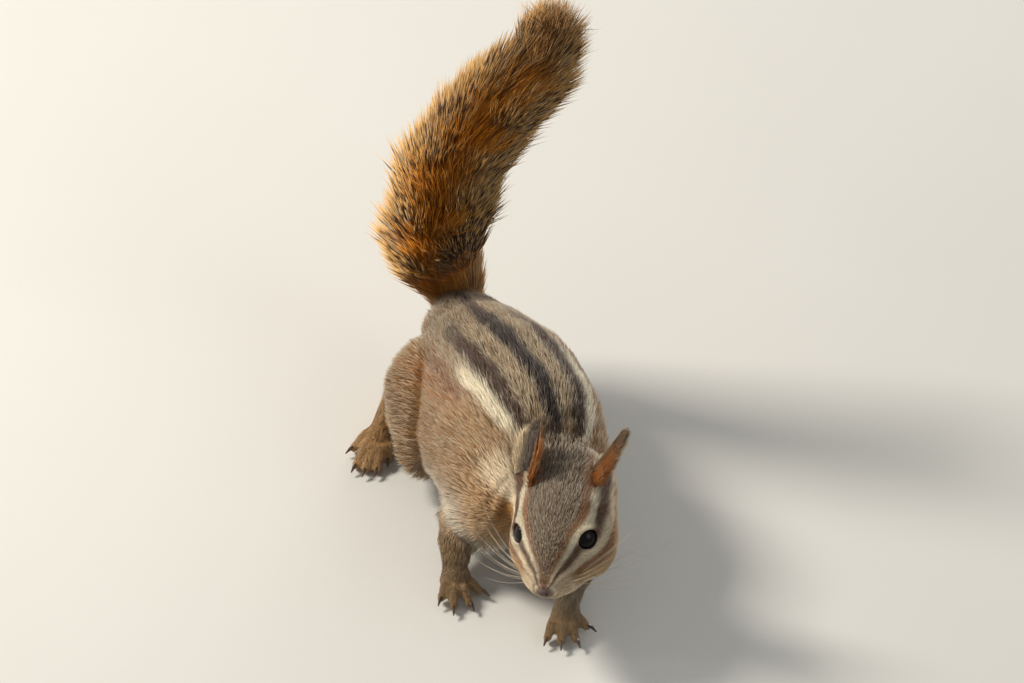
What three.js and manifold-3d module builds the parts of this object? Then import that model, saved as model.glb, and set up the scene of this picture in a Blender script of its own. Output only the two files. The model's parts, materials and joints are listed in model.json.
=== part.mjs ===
// A small western chipmunk at life size. It stands on all fours with its head low and turned to its
// right and its tail straight up. Millimetres, +Z up, soles on z = 0; it faces -Y and its left is +X.
import * as THREE from "three";
import { mergeVertices } from "three/addons/utils/BufferGeometryUtils.js";
import Module from "manifold-3d";

const wasm = await Module();
wasm.setup();

const at = (x, y, z) => new THREE.Vector3(x, y, z);
const radians = THREE.MathUtils.degToRad;

// Driving dimensions
const GAP = 0.3; // left between two nodes, face to face
const BLOCK = 400; // side of the blocks that cut a solid along a plane
const HEAD = { nose: at(-8.3, -51.7, 20), turn: -31, nod: 11, tilt: -13.5 };
const EYE = { radius: 3.3, aside: 5.5, back: 12.9, up: 3.8, lid: 0.5, opening: [2.9, 2.2] };
const EAR = { length: 13.4, halfWidth: 4.2, thickness: 0.8, sunk: 6.5 };
const TORSO_TOP = 24; // height of the middle of the trunk
const FORE_TOE = { root: 1.0, tip: 0.85, claw: 2.5 };
const HIND_TOE = { root: 1.1, tip: 0.9, claw: 2.5 };
const CLAW = { root: 0.5, tip: 0.16 };
const PAD = { radius: 3.3, depth: 2.1, middle: 1.5 }; // of the sole, cut flat by the floor
const LIP = { width: 0.7, groove: 0.3 }; // half widths at the middle of the mouth
const SLIVER = 0.02; // edges under this length are smoothed away
const BRUSH = { width: 12.6, depth: 9.4 }; // half the tail's brush, across and front to back
const CORE = { width: 5.6, depth: 4.4, rings: 15, sides: 10, sunk: 0.72 }; // half the tail's core
const LOCK = {
  tiers: 12,
  around: 10,
  first: 4, // where the first tier stands along the tail
  last: 5, // where the last one stands, from the tail's end
  spread: 3,
  roll: 0.6,
  length: 14,
  width: 2.4, // half its widest
  thickness: 0.42, // half
  stations: [
    [0, 0.55],
    [0.3, 1],
    [0.66, 0.72],
  ], // share of its length, share of its width
  seed: 8,
};

// Colours, roughness and metalness of the materials
const FINISH = {
  back: [0x8a6a4c, 0.9],
  head: [0x93765a, 0.9],
  flank: [0xa98a63, 0.9],
  tail: [0x9a5f2c, 0.9],
  ear: [0xb08a66, 0.85],
  paw: [0xb3945f, 0.8],
  claw: [0x2a2320, 0.45],
  eye: [0x0a0706, 0.08],
};

// Solids: three.js geometries joined and cut by manifold-3d
function solidOf(geometry) {
  const bare = geometry.clone();
  bare.deleteAttribute("normal");
  bare.deleteAttribute("uv");
  const merged = mergeVertices(bare, 1e-4);
  const solid = new wasm.Manifold(
    new wasm.Mesh({
      numProp: 3,
      vertProperties: new Float32Array(merged.attributes.position.array),
      triVerts: new Uint32Array(merged.index.array),
    }),
  );
  return solid;
}

function geometryOf(solid) {
  const mesh = solid.getMesh();
  const geometry = new THREE.BufferGeometry();
  geometry.setAttribute("position", new THREE.BufferAttribute(mesh.vertProperties, 3));
  geometry.setIndex(new THREE.BufferAttribute(mesh.triVerts, 1));
  geometry.computeVertexNormals();
  return geometry;
}

const join = (solids) => solids.reduce((all, one) => all.add(one));

// The largest closed surface of a solid, without sealed hollows, loose scraps or slivers
function largest(solid) {
  const bodies = solid.decompose();
  return bodies.reduce((best, one) => (one.volume() > best.volume() ? one : best)).simplify(SLIVER);
}

// All that lies on the side of a plane that its normal points to
function halfSpace(point, normal) {
  const block = new THREE.BoxGeometry(BLOCK, BLOCK, BLOCK).translate(0, 0, BLOCK / 2);
  const turn = new THREE.Quaternion().setFromUnitVectors(at(0, 0, 1), normal.clone().normalize());
  return solidOf(block.applyQuaternion(turn).translate(point.x, point.y, point.z));
}

// A solid parted by a plane, with the gap shared by both sides: [ahead of the plane, behind it]
function part(solid, point, normal) {
  const half = normal.clone().normalize().multiplyScalar(GAP / 2);
  const ahead = solid.intersect(halfSpace(point.clone().add(half), half));
  const behind = solid.intersect(halfSpace(point.clone().sub(half), half.clone().negate()));
  return [ahead, behind];
}

// Forms: each gives the distance from a point to a rounded shape, negative inside
const ellipsoid = (centre, radii) => (p) => {
  const x = (p.x - centre.x) / radii.x;
  const y = (p.y - centre.y) / radii.y;
  const z = (p.z - centre.z) / radii.z;
  const outward = Math.hypot(x, y, z);
  const slope = Math.hypot(x / radii.x, y / radii.y, z / radii.z) || 1;
  return (outward * (outward - 1)) / slope;
};
const ball = (x, y, z, radius) => (p) => Math.hypot(p.x - x, p.y - y, p.z - z) - radius;
const cone = (from, fromRadius, to, toRadius) => (p) => {
  const along = to.clone().sub(from);
  const t = THREE.MathUtils.clamp(p.clone().sub(from).dot(along) / along.lengthSq(), 0, 1);
  const radius = fromRadius + t * (toRadius - fromRadius);
  return p.distanceTo(from.clone().addScaledVector(along, t)) - radius;
};
const blend = (softness, forms) => (p) =>
  forms
    .map((form) => form(p))
    .reduce((a, b) => {
      const overlap = Math.max(softness - Math.abs(a - b), 0) / softness;
      return Math.min(a, b) - (overlap * overlap * softness) / 4;
    });

// How far out from a point inside the form its surface lies
function reachOf(form, from, direction, grow, most) {
  let inside = 0;
  let outside = most;
  const steps = 40;
  for (let i = 1; i <= steps; i++) {
    const r = (most * i) / steps;
    if (form(from.clone().addScaledVector(direction, r)) > grow) {
      outside = r;
      break;
    }
    inside = r;
  }
  for (let i = 0; i < 14; i++) {
    const r = (inside + outside) / 2;
    if (form(from.clone().addScaledVector(direction, r)) < grow) inside = r;
    else outside = r;
  }
  return (inside + outside) / 2;
}

// A closed solid cast on a form. Rings of rays stand across a smooth axis, evenly between its
// points, and a fan of rings rounds off each end. The form is swollen by `grow`, and the rings
// turn with the axis as it heads on average over `ease` of its stretches to each side.
function cast(form, axis, { rings, sides, fan = 3, grow = 0, most = 30, ease = 0.01 }) {
  const curve = new THREE.CatmullRomCurve3(axis, false, "centripetal");
  const span = ease / (axis.length - 1);
  const heading = (t) => {
    const [before, after] = [Math.max(t - span, 0), Math.min(t + span, 1)];
    return curve.getPoint(after).sub(curve.getPoint(before)).normalize();
  };
  const rows = [];
  for (let j = 1; j <= fan; j++) rows.push([0, (j / (fan + 1) - 1) * 90]);
  for (let i = 0; i <= rings; i++) rows.push([i / rings, 0]);
  for (let j = fan; j >= 1; j--) rows.push([1, (1 - j / (fan + 1)) * 90]);
  const corners = [];
  const shoot = (centre, direction) => {
    const r = reachOf(form, centre, direction, grow, most);
    corners.push(centre.clone().addScaledVector(direction, r));
  };
  shoot(curve.getPoint(0), heading(0).negate());
  for (const [t, lean] of rows) {
    const centre = curve.getPoint(t);
    const along = heading(t);
    const side = new THREE.Vector3().crossVectors(along, at(0, 0, 1)).normalize();
    const over = new THREE.Vector3().crossVectors(side, along).normalize();
    for (let k = 0; k < sides; k++) {
      const angle = (2 * Math.PI * k) / sides;
      const across = side.clone().multiplyScalar(Math.cos(angle)).addScaledVector(over, Math.sin(angle));
      const direction = across.multiplyScalar(Math.cos(radians(lean)));
      shoot(centre, direction.addScaledVector(along, Math.sin(radians(lean))).normalize());
    }
  }
  shoot(curve.getPoint(1), heading(1));
  return closed(corners, sides);
}

// A solid from a pole, rows of corners and a last pole
function closed(corners, sides) {
  const faces = [];
  const last = corners.length - 1;
  const rows = (last - 1) / sides;
  const corner = (row, k) => 1 + row * sides + (k % sides);
  for (let k = 0; k < sides; k++) {
    faces.push(0, corner(0, k + 1), corner(0, k));
    faces.push(last, corner(rows - 1, k), corner(rows - 1, k + 1));
    for (let row = 0; row + 1 < rows; row++) {
      faces.push(corner(row, k), corner(row, k + 1), corner(row + 1, k + 1));
      faces.push(corner(row, k), corner(row + 1, k + 1), corner(row + 1, k));
    }
  }
  return outward(corners, faces);
}

// A solid from corners and triangles, turned so that its faces point out
function outward(corners, faces) {
  let volume = 0;
  for (let i = 0; i < faces.length; i += 3) {
    const [a, b, c] = [corners[faces[i]], corners[faces[i + 1]], corners[faces[i + 2]]];
    volume += a.dot(new THREE.Vector3().crossVectors(b, c));
  }
  if (volume < 0) faces.reverse();
  const geometry = new THREE.BufferGeometry();
  const numbers = corners.flatMap((p) => p.toArray());
  geometry.setAttribute("position", new THREE.Float32BufferAttribute(numbers, 3));
  geometry.setIndex(faces);
  return solidOf(geometry);
}

// The head's own axes: x to the animal's left, y back from the nose, z up
const headTurn = new THREE.Euler(radians(HEAD.nod), radians(HEAD.tilt), radians(HEAD.turn), "ZXY");
const headPlace = new THREE.Matrix4().makeRotationFromEuler(headTurn).setPosition(HEAD.nose);
const headPlaceBack = headPlace.clone().invert();
const inHead = (x, y, z) => at(x, y, z).applyMatrix4(headPlace);
const alongHead = (x, y, z) => at(x, y, z).transformDirection(headPlace);

const BOTH = [-1, 1]; // right side, left side
const sideName = (side) => (side < 0 ? "right" : "left");

// The head, as forms in its own axes
const skull = blend(2.6, [
  ball(0, 1.9, -0.1, 1.5), // nose
  cone(at(0, 3.3, 0.1), 2.4, at(0, 11, 1.2), 6.3), // muzzle
  ellipsoid(at(0, 13.5, 2.6), at(8.4, 7.6, 6.9)), // face, with the cheekbones
  ellipsoid(at(0, 19.5, 3), at(10, 11, 8.8)), // cranium
  ellipsoid(at(0, 26, 3.2), at(9.2, 7.5, 8.8)), // back of the head, between the ears
  cone(at(0, 4.6, -2.6), 1.5, at(0, 16, -4), 5.2), // lower jaw
  ...BOTH.map((side) => ellipsoid(at(2.2 * side, 5.4, -1.1), at(2.2, 3.3, 2.1))), // whisker pads
  ...BOTH.map((side) => ellipsoid(at(3.6 * side, 9.2, -1.3), at(3.2, 5.2, 3.6))), // upper lips
  ...BOTH.map((side) => ellipsoid(at(6 * side, 16.5, -2), at(4.9, 8, 6.2))), // cheeks
]);
const headForm = (p) => skull(p.clone().applyMatrix4(headPlaceBack));

// The trunk, from the root of the tail to the back of the head
const trunkForm = blend(4, [
  ball(1, 27, 20.5, 10),
  ball(0.5, 15, 22, 14.3),
  ball(1.2, 4, TORSO_TOP - 0.5, 16.8),
  ball(0.8, -7, TORSO_TOP, 17.2),
  ball(1.2, -15.5, TORSO_TOP - 1.5, 14),
  ellipsoid(at(3, -24, 22.6), at(10, 8.5, 12)), // neck
  ellipsoid(at(0, 0, 15.5), at(17, 26, 11)), // belly
  ...BOTH.map((side) => ellipsoid(at(9.5 * side, -17, 17), at(7.5, 10, 12))), // shoulders
]);
const bodyForm = (p) => {
  const [a, b] = [headForm(p), trunkForm(p)];
  const softness = 3.4;
  const overlap = Math.max(softness - Math.abs(a - b), 0) / softness;
  return Math.min(a, b) - (overlap * overlap * softness) / 4;
};

const bodyAxis = [
  at(1, 33, 21),
  at(1, 22, 21),
  at(0.5, 10, 22),
  at(0.5, -2, 22.5),
  at(1.6, -12, 22.8),
  at(3.2, -20, 23.4),
  at(4, -27, 24),
  inHead(0, 22.3, 0.6),
  inHead(0, 18.5, 0.5),
  inHead(0, 15, 0.5),
  inHead(0, 12, 0.4),
  inHead(0, 9.5, 0.3),
  inHead(0, 7, 0.1),
  inHead(0, 4.6, -0.2),
  inHead(0, 2.2, -0.2),
];
const castBody = (grow) => cast(bodyForm, bodyAxis, { rings: 38, sides: 24, grow, ease: 1.6 });
const body = castBody(0);
const bodyGrown = castBody(GAP);

// Where the head, the neck and the trunk part
const HEAD_CUT = { point: at(3.9, -25.4, 30.6), normal: at(-0.3, -0.9, 0.3) };
const NECK_CUT = { point: at(1, -15.5, 26), normal: at(-0.18, -0.95, 0.2) };
const [headBlank, behindHead] = part(body, HEAD_CUT.point, HEAD_CUT.normal);
const [neck, torso] = part(behindHead, NECK_CUT.point, NECK_CUT.normal);

// Eyes: a ball in a socket, between two lids that leave an almond opening
const eyeCentre = (side) => inHead(EYE.aside * side, EYE.back, EYE.up);
const eyeOut = (side) => alongHead(0.72 * side, -0.48, 0.5);

function orb(centre, radius) {
  const geometry = new THREE.SphereGeometry(radius, 14, 9);
  return solidOf(geometry.translate(centre.x, centre.y, centre.z));
}

function eyeOpening(side) {
  const [halfLength, halfHeight] = EYE.opening;
  const span = (halfLength * halfLength) / halfHeight;
  const radius = (span + halfHeight) / 2;
  const shift = (span - halfHeight) / 2;
  const out = eyeOut(side);
  const up = alongHead(0, 0.12, 1).cross(out).cross(out).negate().normalize();
  const centre = eyeCentre(side).addScaledVector(out, EYE.radius + EYE.lid);
  const lower = orb(centre.clone().addScaledVector(up, shift), radius);
  const upper = orb(centre.clone().addScaledVector(up, -shift), radius);
  return lower.intersect(upper);
}

function withEyeSockets(solid) {
  for (const side of BOTH) {
    const centre = eyeCentre(side);
    const lids = orb(centre, EYE.radius + GAP + EYE.lid);
    solid = solid.add(lids).subtract(orb(centre, EYE.radius + GAP)).subtract(eyeOpening(side));
  }
  return solid;
}

// A round rod along points, for grooves, lips and claws
function rod(points, radii, sides, rings) {
  const forms = points.slice(1).map((to, i) => cone(points[i], radii[i], to, radii[i + 1]));
  const nearest = (p) => Math.min(...forms.map((form) => form(p)));
  return cast(nearest, points, { rings, sides, fan: 1, most: 6 });
}

// The line of the mouth runs under the nose and back along each side, between soft lips
function withMouth(solid) {
  const along = [-1, -0.75, -0.5, -0.25, 0, 0.25, 0.5, 0.75, 1];
  const line = along.map((s) => onHead(4.6 * s, 2.6 + 6.2 * Math.abs(s), -2.9 - 0.8 * Math.abs(s)));
  const inside = inHead(0, 9, -0.5);
  const sunk = line.map((p) => p.clone().addScaledVector(inside.clone().sub(p).normalize(), 0.45));
  const taper = along.map((s) => 1 - 0.35 * s * s);
  const lips = rod(sunk, taper.map((share) => LIP.width * share), 7, 16);
  const groove = rod(line, taper.map((share) => LIP.groove * share), 5, 16);
  return solid.add(lips).subtract(groove);
}

// The point of the skin that lies straight out from the head's axis through a place
function onHead(x, y, z) {
  const axis = inHead(0, y, -0.2);
  const direction = inHead(x, y, z).sub(axis).normalize();
  return axis.addScaledVector(direction, reachOf(headForm, axis, direction, 0, 20));
}

function withNostrils(solid) {
  for (const side of BOTH) {
    const mouth = inHead(0.75 * side, 0.1, -0.1);
    const end = inHead(1.1 * side, 1.6, 0.2);
    solid = solid.subtract(rod([mouth, end], [0.4, 0.3], 6, 2));
  }
  return solid;
}

const head = largest(withNostrils(withMouth(withEyeSockets(headBlank))));

// Ears: a scoop that opens outward, with the same grid on both faces
const EAR_POSE = {
  "-1": { root: [-7.5, 23.4, 9.4], axis: [0.16, 0.5, 0.84], open: [-0.76, -0.62, 0.2] },
  1: { root: [6.2, 25.8, 9.6], axis: [0.63, 0.2, 0.75], open: [0.76, -0.2, -0.6] },
};
const EAR_WIDEST = 0.35; // share of the ear's length
const earWidthAt = (s) =>
  EAR.halfWidth *
  (s < EAR_WIDEST ? 0.86 + 0.4 * s : 1 - 0.95 * ((s - EAR_WIDEST) / (1 - EAR_WIDEST)) ** 1.7);

function ear(side) {
  const pose = EAR_POSE[side];
  const root = inHead(...pose.root);
  const axis = alongHead(...pose.axis);
  const open = alongHead(...pose.open);
  open.addScaledVector(axis, -open.dot(axis)).normalize();
  const across = new THREE.Vector3().crossVectors(axis, open).normalize();
  const stations = 8;
  const strips = 6;
  const corners = [];
  for (const face of [0, 1]) {
    for (let i = 0; i <= stations; i++) {
      const reach = -EAR.sunk + ((EAR.length + EAR.sunk) * i) / stations;
      const s = Math.max(reach / EAR.length, 0);
      for (let j = 0; j <= strips; j++) {
        const t = (2 * j) / strips - 1;
        const wide = earWidthAt(s) * t;
        const cup = (2.1 - 1.4 * s) * t * t;
        const thick = EAR.thickness * (1.15 - 0.35 * t * t - 0.3 * s);
        const below = Math.max(1 - reach, 0) / (1 + EAR.sunk); // the root leans in to the skull
        const backward = -1.1 * s * s - 3.4 * below * below;
        const p = root.clone().addScaledVector(axis, reach).addScaledVector(across, wide);
        corners.push(p.addScaledVector(open, cup + backward - face * thick));
      }
    }
  }
  return outward(corners, twoFaces(stations, strips));
}

// Triangles of a thin sheet: its inner and outer grid are alike, and walls close its edges
function twoFaces(rows, columns) {
  const faces = [];
  const width = columns + 1;
  const sheet = width * (rows + 1);
  const cell = (a, b, c, d) => faces.push(a, b, c, a, c, d);
  for (let i = 0; i < rows; i++) {
    for (let j = 0; j < columns; j++) {
      const a = i * width + j;
      cell(a, a + 1, a + width + 1, a + width);
      faces.push(sheet + a, sheet + a + width + 1, sheet + a + 1);
      faces.push(sheet + a, sheet + a + width, sheet + a + width + 1);
    }
  }
  const wall = (a, b) => cell(a, a + sheet, b + sheet, b);
  for (let j = 0; j < columns; j++) {
    wall(j, j + 1);
    wall(rows * width + j + 1, rows * width + j);
  }
  for (let i = 0; i < rows; i++) {
    wall((i + 1) * width, i * width);
    wall(i * width + columns, (i + 1) * width + columns);
  }
  return faces;
}

// Toes: each bends over its knuckle down to a pad on the floor, and its claw is a piece of its own
const FLOOR = halfSpace(at(0, 0, 0), at(0, 0, 1));

function toeForm(toe, size) {
  const { root, tip } = toe;
  const knuckle = root.clone().lerp(tip, 0.45).add(at(0, 0, size.root * 0.75));
  const last = root.clone().lerp(tip, 0.82).add(at(0, 0, size.root * 0.15));
  const line = [root, knuckle, last, tip];
  const wide = [size.root * 1.05, size.root, size.tip * 0.88, size.tip];
  const forms = line.slice(1).map((to, i) => cone(line[i], wide[i], to, wide[i + 1]));
  return { line, form: (p) => Math.min(...forms.map((one) => one(p))) };
}

function toeSolid(toe, size, grow) {
  const { line, form } = toeForm(toe, size);
  return cast(form, line, { rings: 4, sides: 6, fan: 1, grow, most: 5 });
}

function clawSolid(toe, size) {
  const forward = toe.tip.clone().sub(toe.root).setZ(0).normalize();
  const start = toe.tip.clone().addScaledVector(forward, -size.tip * 0.2).add(at(0, 0, 0.35));
  const bend = start.clone().addScaledVector(forward, size.claw * 0.6).add(at(0, 0, 0.15));
  const point = start.clone().addScaledVector(forward, size.claw * 1.1).add(at(0, 0, -0.5));
  point.z = Math.max(point.z, CLAW.tip + 0.25);
  return rod([start, bend, point], [CLAW.root, CLAW.root * 0.8, CLAW.tip], 5, 2);
}

// A toe from its knuckle on the foot to the place that its claw reaches
function toe(rootX, rootY, reachX, reachY) {
  const root = at(rootX, rootY, 2.9);
  const reach = at(reachX, reachY, 0.78);
  return { root, tip: reach.clone().lerp(root, 1.9 / reach.distanceTo(root)) };
}

// Each foot: its toes from the outer one on the animal's right to its left, and the bones behind
const FEET = {
  forepaw_right: {
    size: FORE_TOE,
    toes: [
      toe(-18.9, -26.2, -22.0, -30.8),
      toe(-18.0, -27.3, -19.9, -34.0),
      toe(-16.5, -27.5, -15.6, -33.6),
      toe(-15.1, -26.4, -11.5, -30.0),
    ],
    line: [at(-16.3, -22.2, 5.6), at(-16.9, -25.6, 3.2)],
    wide: [2.5, 2.5],
  },
  forepaw_left: {
    size: FORE_TOE,
    toes: [
      toe(-0.3, -41.6, -3.9, -46.7),
      toe(0.9, -42.9, -1.0, -48.6),
      toe(2.5, -43.0, 2.9, -48.6),
      toe(4.2, -41.6, 7.2, -44.8),
    ],
    line: [at(3.6, -37.8, 5.4), at(2.2, -41.2, 3.2)],
    wide: [2.5, 2.5],
  },
  hind_foot_right: {
    size: HIND_TOE,
    toes: [
      toe(-20.4, 22.0, -26.4, 18.6),
      toe(-21.2, 19.6, -27.2, 12.9),
      toe(-20.6, 18.2, -25.4, 11.2),
      toe(-19.4, 17.4, -22.9, 10.7),
      toe(-17.6, 18.0, -19.4, 13.0),
    ],
    line: [at(-10.2, 33.6, 3.4), at(-14.6, 26.6, 3.2), at(-19.2, 20.0, 3.0)],
    wide: [2.9, 2.5, 2.7],
  },
  hind_foot_left: {
    size: HIND_TOE,
    toes: [
      toe(14.0, 15.6, 14.2, 10.0),
      toe(15.4, 14.6, 17.2, 7.4),
      toe(16.7, 14.4, 20.0, 7.0),
      toe(17.9, 15.0, 22.4, 8.4),
      toe(18.4, 17.0, 23.4, 13.2),
    ],
    line: [at(10.6, 33.0, 3.4), at(13.4, 24.6, 3.2), at(16.2, 17.0, 3.0)],
    wide: [2.9, 2.5, 2.7],
  },
};

function footSolid(foot, grow = 0) {
  const { line, wide } = foot;
  const cones = line.slice(1).map((to, i) => cone(line[i], wide[i], to, wide[i + 1]));
  const last = line.length - 1;
  const pad = ellipsoid(line[last].clone().setZ(PAD.middle), at(PAD.radius, PAD.radius, PAD.depth));
  const form = blend(1.2, [...cones, pad]);
  const middle = cast(form, line, { rings: 2 * last, sides: 9, fan: 2, grow, most: 8 });
  return join([middle, ...foot.toes.map((one) => toeSolid(one, foot.size, grow))]);
}

// Legs: each is cast on its bones and muscles, and meets the trunk face to face
const LEGS = {
  foreleg_right: {
    line: [at(-8.5, -16, 17.5), at(-11.8, -13.6, 11), at(-14.6, -18.4, 8), at(-16.3, -22.4, 6)],
    wide: [7, 4.7, 3.5, 2.7],
    foot: "forepaw_right",
  },
  foreleg_left: {
    line: [at(10, -15, 17), at(12.2, -21.5, 9.6), at(8.2, -30.5, 7.4), at(3.8, -37.4, 5.8)],
    wide: [7, 4.6, 3.4, 2.7],
    foot: "forepaw_left",
  },
  hind_leg_right: {
    line: [at(-10, 16, 17), at(-14.6, 5.5, 11.5), at(-13.4, 20, 8.6), at(-10.6, 32, 6.2)],
    wide: [9, 5.6, 4, 2.9],
    foot: "hind_foot_right",
    thigh: at(-9.2, 15, 15.6),
  },
  hind_leg_left: {
    line: [at(10, 15, 17), at(15.2, 6.5, 11.5), at(13, 20, 8.4), at(10.8, 31.4, 6.2)],
    wide: [9, 5.6, 4, 2.9],
    foot: "hind_foot_left",
    thigh: at(11, 14, 15.8),
  },
};
const THIGH = at(9.3, 14.5, 13.5); // radii of the haunch

function legSolid({ line, wide, thigh }, grow) {
  const forms = line.slice(1).map((to, i) => cone(line[i], wide[i], to, wide[i + 1]));
  if (thigh) {
    const haunch = blend(5, [ellipsoid(thigh, THIGH), forms[0]]);
    const back = thigh.clone().add(at(0, THIGH.y * 0.5, 0));
    const upper = cast(haunch, [back, thigh, line[1]], { rings: 7, sides: 16, fan: 2, grow, most: 20 });
    const shin = cast(blend(2, forms.slice(1)), line.slice(1), { rings: 4, sides: 10, fan: 2, grow, most: 14 });
    return upper.add(shin);
  }
  return cast(blend(2, forms), line, { rings: 7, sides: 12, fan: 2, grow, most: 14 });
}

const limbs = {};
const claws = [];
for (const [name, leg] of Object.entries(LEGS)) {
  const foot = FEET[leg.foot];
  const grownFoot = footSolid(foot, GAP);
  const limb = legSolid(leg, 0);
  limbs[name] = largest(limb.subtract(bodyGrown).intersect(FLOOR));
  const clear = legSolid(leg, GAP).add(bodyGrown);
  limbs[leg.foot] = largest(footSolid(foot).subtract(clear).intersect(FLOOR));
  foot.toes.forEach((one, i) => {
    const claw = largest(clawSolid(one, foot.size).subtract(grownFoot));
    claws.push([leg.foot + "_claw_" + (i + 1), claw]);
  });
}

// The tail stands up behind the rump and leans to the animal's left at its end
const TAIL_LINE = [
  at(1.5, 33, 20.5),
  at(1.6, 38.4, 23),
  at(-0.3, 41.6, 28),
  at(-1.8, 42.9, 34),
  at(-2.1, 43.3, 41.5),
  at(-1.9, 43.7, 49),
  at(-0.1, 43.8, 56.5),
  at(3, 44.2, 63.5),
  at(6.4, 44.1, 69.5),
  at(10.8, 44, 75.5),
  at(14.4, 44.8, 82),
  at(16.2, 45.2, 86),
];
const tailCurve = new THREE.CatmullRomCurve3(TAIL_LINE, false, "centripetal");
const tailLength = tailCurve.getLength();

// The tail's own coordinates: millimetres along it, an angle about it (0 at the animal's left,
// a quarter turn at its upper, front side) and how far out, as shares of `size` on its two axes
function onTail(along, angle, size, share) {
  const t = THREE.MathUtils.clamp(along / tailLength, 0, 1);
  const tangent = tailCurve.getTangentAt(t);
  const side = new THREE.Vector3().crossVectors(at(0, -1, 0.25), tangent).normalize();
  const over = new THREE.Vector3().crossVectors(tangent, side).normalize();
  const place = tailCurve.getPointAt(t).addScaledVector(tangent, along - t * tailLength);
  place.addScaledVector(side, size.width * share * Math.cos(angle));
  return place.addScaledVector(over, size.depth * share * Math.sin(angle));
}

// How wide the brush is along the tail, as a share of its full width
function fullness(along) {
  const t = along / tailLength;
  const narrowing = Math.max(t - 0.75, 0) / 0.4;
  return Math.min(0.62 + 1.6 * Math.max(t, 0), 1) * Math.sqrt(Math.max(1 - narrowing ** 2, 0.05));
}

function tailCore() {
  const { rings, sides } = CORE;
  const corners = [onTail(-1, 0, CORE, 0)];
  for (let i = 0; i <= rings; i++) {
    const along = (tailLength * i) / rings;
    const share = Math.min(fullness(along) * 1.05, 1) * (i === rings ? 0.6 : 1);
    for (let k = 0; k < sides; k++) corners.push(onTail(along, (2 * Math.PI * k) / sides, CORE, share));
  }
  corners.push(onTail(tailLength + 2, 0, CORE, 0));
  return closed(corners, sides);
}

// A draw from 0 to 1 that is the same on every run
function seeded(seed) {
  let state = seed;
  return () => {
    state = (state + 0x6d2b79f5) | 0;
    let mixed = Math.imul(state ^ (state >>> 15), 1 | state);
    mixed = (mixed + Math.imul(mixed ^ (mixed >>> 7), 61 | mixed)) ^ mixed;
    return ((mixed ^ (mixed >>> 14)) >>> 0) / 4294967296;
  };
}

// A flat, tapered lock: it leaves the core, bends over along the tail and ends on the brush's outside
function lock({ start, length, angle, sway, roll, reach, wide }) {
  const coreShare = Math.min(fullness(start), 1) * CORE.sunk;
  const outer = fullness(start + 0.8 * length) * reach;
  const line = (u) => {
    const turned = angle + sway * u * u;
    const out = u * (1.45 - 0.45 * u);
    const root = onTail(start + length * u, turned, CORE, coreShare * (1 - out));
    const brush = onTail(start + length * u, turned, BRUSH, outer * out);
    return root.add(brush).sub(onTail(start + length * u, 0, CORE, 0));
  };
  const corners = [line(-0.02)];
  for (const [u, share] of LOCK.stations) {
    const centre = line(u);
    const heading = line(u + 0.02).sub(line(u - 0.02)).normalize();
    const middle = onTail(start + length * u, 0, CORE, 0);
    const front = onTail(start + length * u, Math.PI / 2, BRUSH, 1).sub(middle);
    const across = new THREE.Vector3().crossVectors(heading, front).normalize();
    across.applyAxisAngle(heading, roll);
    const over = new THREE.Vector3().crossVectors(across, heading).normalize();
    const [w, h] = [wide * share, LOCK.thickness * (0.45 + 0.55 * share)];
    corners.push(centre.clone().addScaledVector(across, w));
    corners.push(centre.clone().addScaledVector(over, h));
    corners.push(centre.clone().addScaledVector(across, -w));
    corners.push(centre.clone().addScaledVector(over, -h));
  }
  corners.push(line(1));
  return closed(corners, 4);
}

// Tiers of locks from the tail's root to its tip; each tier is turned by half a lock from the last
function tailLocks() {
  const random = seeded(LOCK.seed);
  const vary = (amount) => 1 + amount * (2 * random() - 1);
  const locks = [];
  for (let tier = 0; tier < LOCK.tiers; tier++) {
    const t = tier / (LOCK.tiers - 1);
    const shorter = Math.max(1 - t / 0.12, (t - 0.7) / 0.3, 0); // at the tail's root and tip
    for (let k = 0; k < LOCK.around; k++) {
      const stand = THREE.MathUtils.lerp(LOCK.first, tailLength - LOCK.last, t);
      locks.push(
        lock({
          start: stand + LOCK.spread * (random() - 0.5),
          length: LOCK.length * vary(0.12) * (1 - 0.3 * shorter),
          angle: (2 * Math.PI * (k + (tier % 2) / 2 + 0.3 * (random() - 0.5))) / LOCK.around,
          sway: 0.3 * (random() - 0.5),
          roll: LOCK.roll * (2 * random() - 1),
          reach: vary(0.07),
          wide: LOCK.width * vary(0.15),
        }),
      );
    }
  }
  return locks;
}

const hindLegs = [LEGS.hind_leg_right, LEGS.hind_leg_left];
const hindLegsGrown = join(hindLegs.map((leg) => legSolid(leg, GAP)));
const brushed = wasm.Manifold.union([tailCore(), ...tailLocks()]);
const tail = largest(brushed.subtract(bodyGrown).subtract(hindLegsGrown));

// The scene graph: what the head carries sits in the head's own group
const animal = new THREE.Group();
const headGroup = new THREE.Group();
headGroup.position.copy(HEAD.nose);
headGroup.rotation.copy(headTurn);
animal.add(headGroup);

function addNode(group, name, solid, finish) {
  const [color, roughness] = FINISH[finish];
  const material = new THREE.MeshStandardMaterial({ color, roughness, metalness: 0 });
  const geometry = geometryOf(solid);
  if (group === headGroup) geometry.applyMatrix4(headPlaceBack);
  const mesh = new THREE.Mesh(geometry, material);
  mesh.name = name;
  group.add(mesh);
}

addNode(headGroup, "head", head, "head");
for (const side of BOTH) {
  const eye = orb(eyeCentre(side), EYE.radius);
  addNode(headGroup, "eye_" + sideName(side), eye, "eye");
  addNode(headGroup, "ear_" + sideName(side), largest(ear(side).subtract(bodyGrown)), "ear");
}
addNode(animal, "neck", largest(neck), "back");
addNode(animal, "torso", largest(torso), "back");
for (const [name, solid] of Object.entries(limbs)) {
  addNode(animal, name, solid, name in LEGS ? "flank" : "paw");
}
for (const [name, solid] of claws) addNode(animal, name, solid, "claw");
addNode(animal, "tail", tail, "tail");

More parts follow.
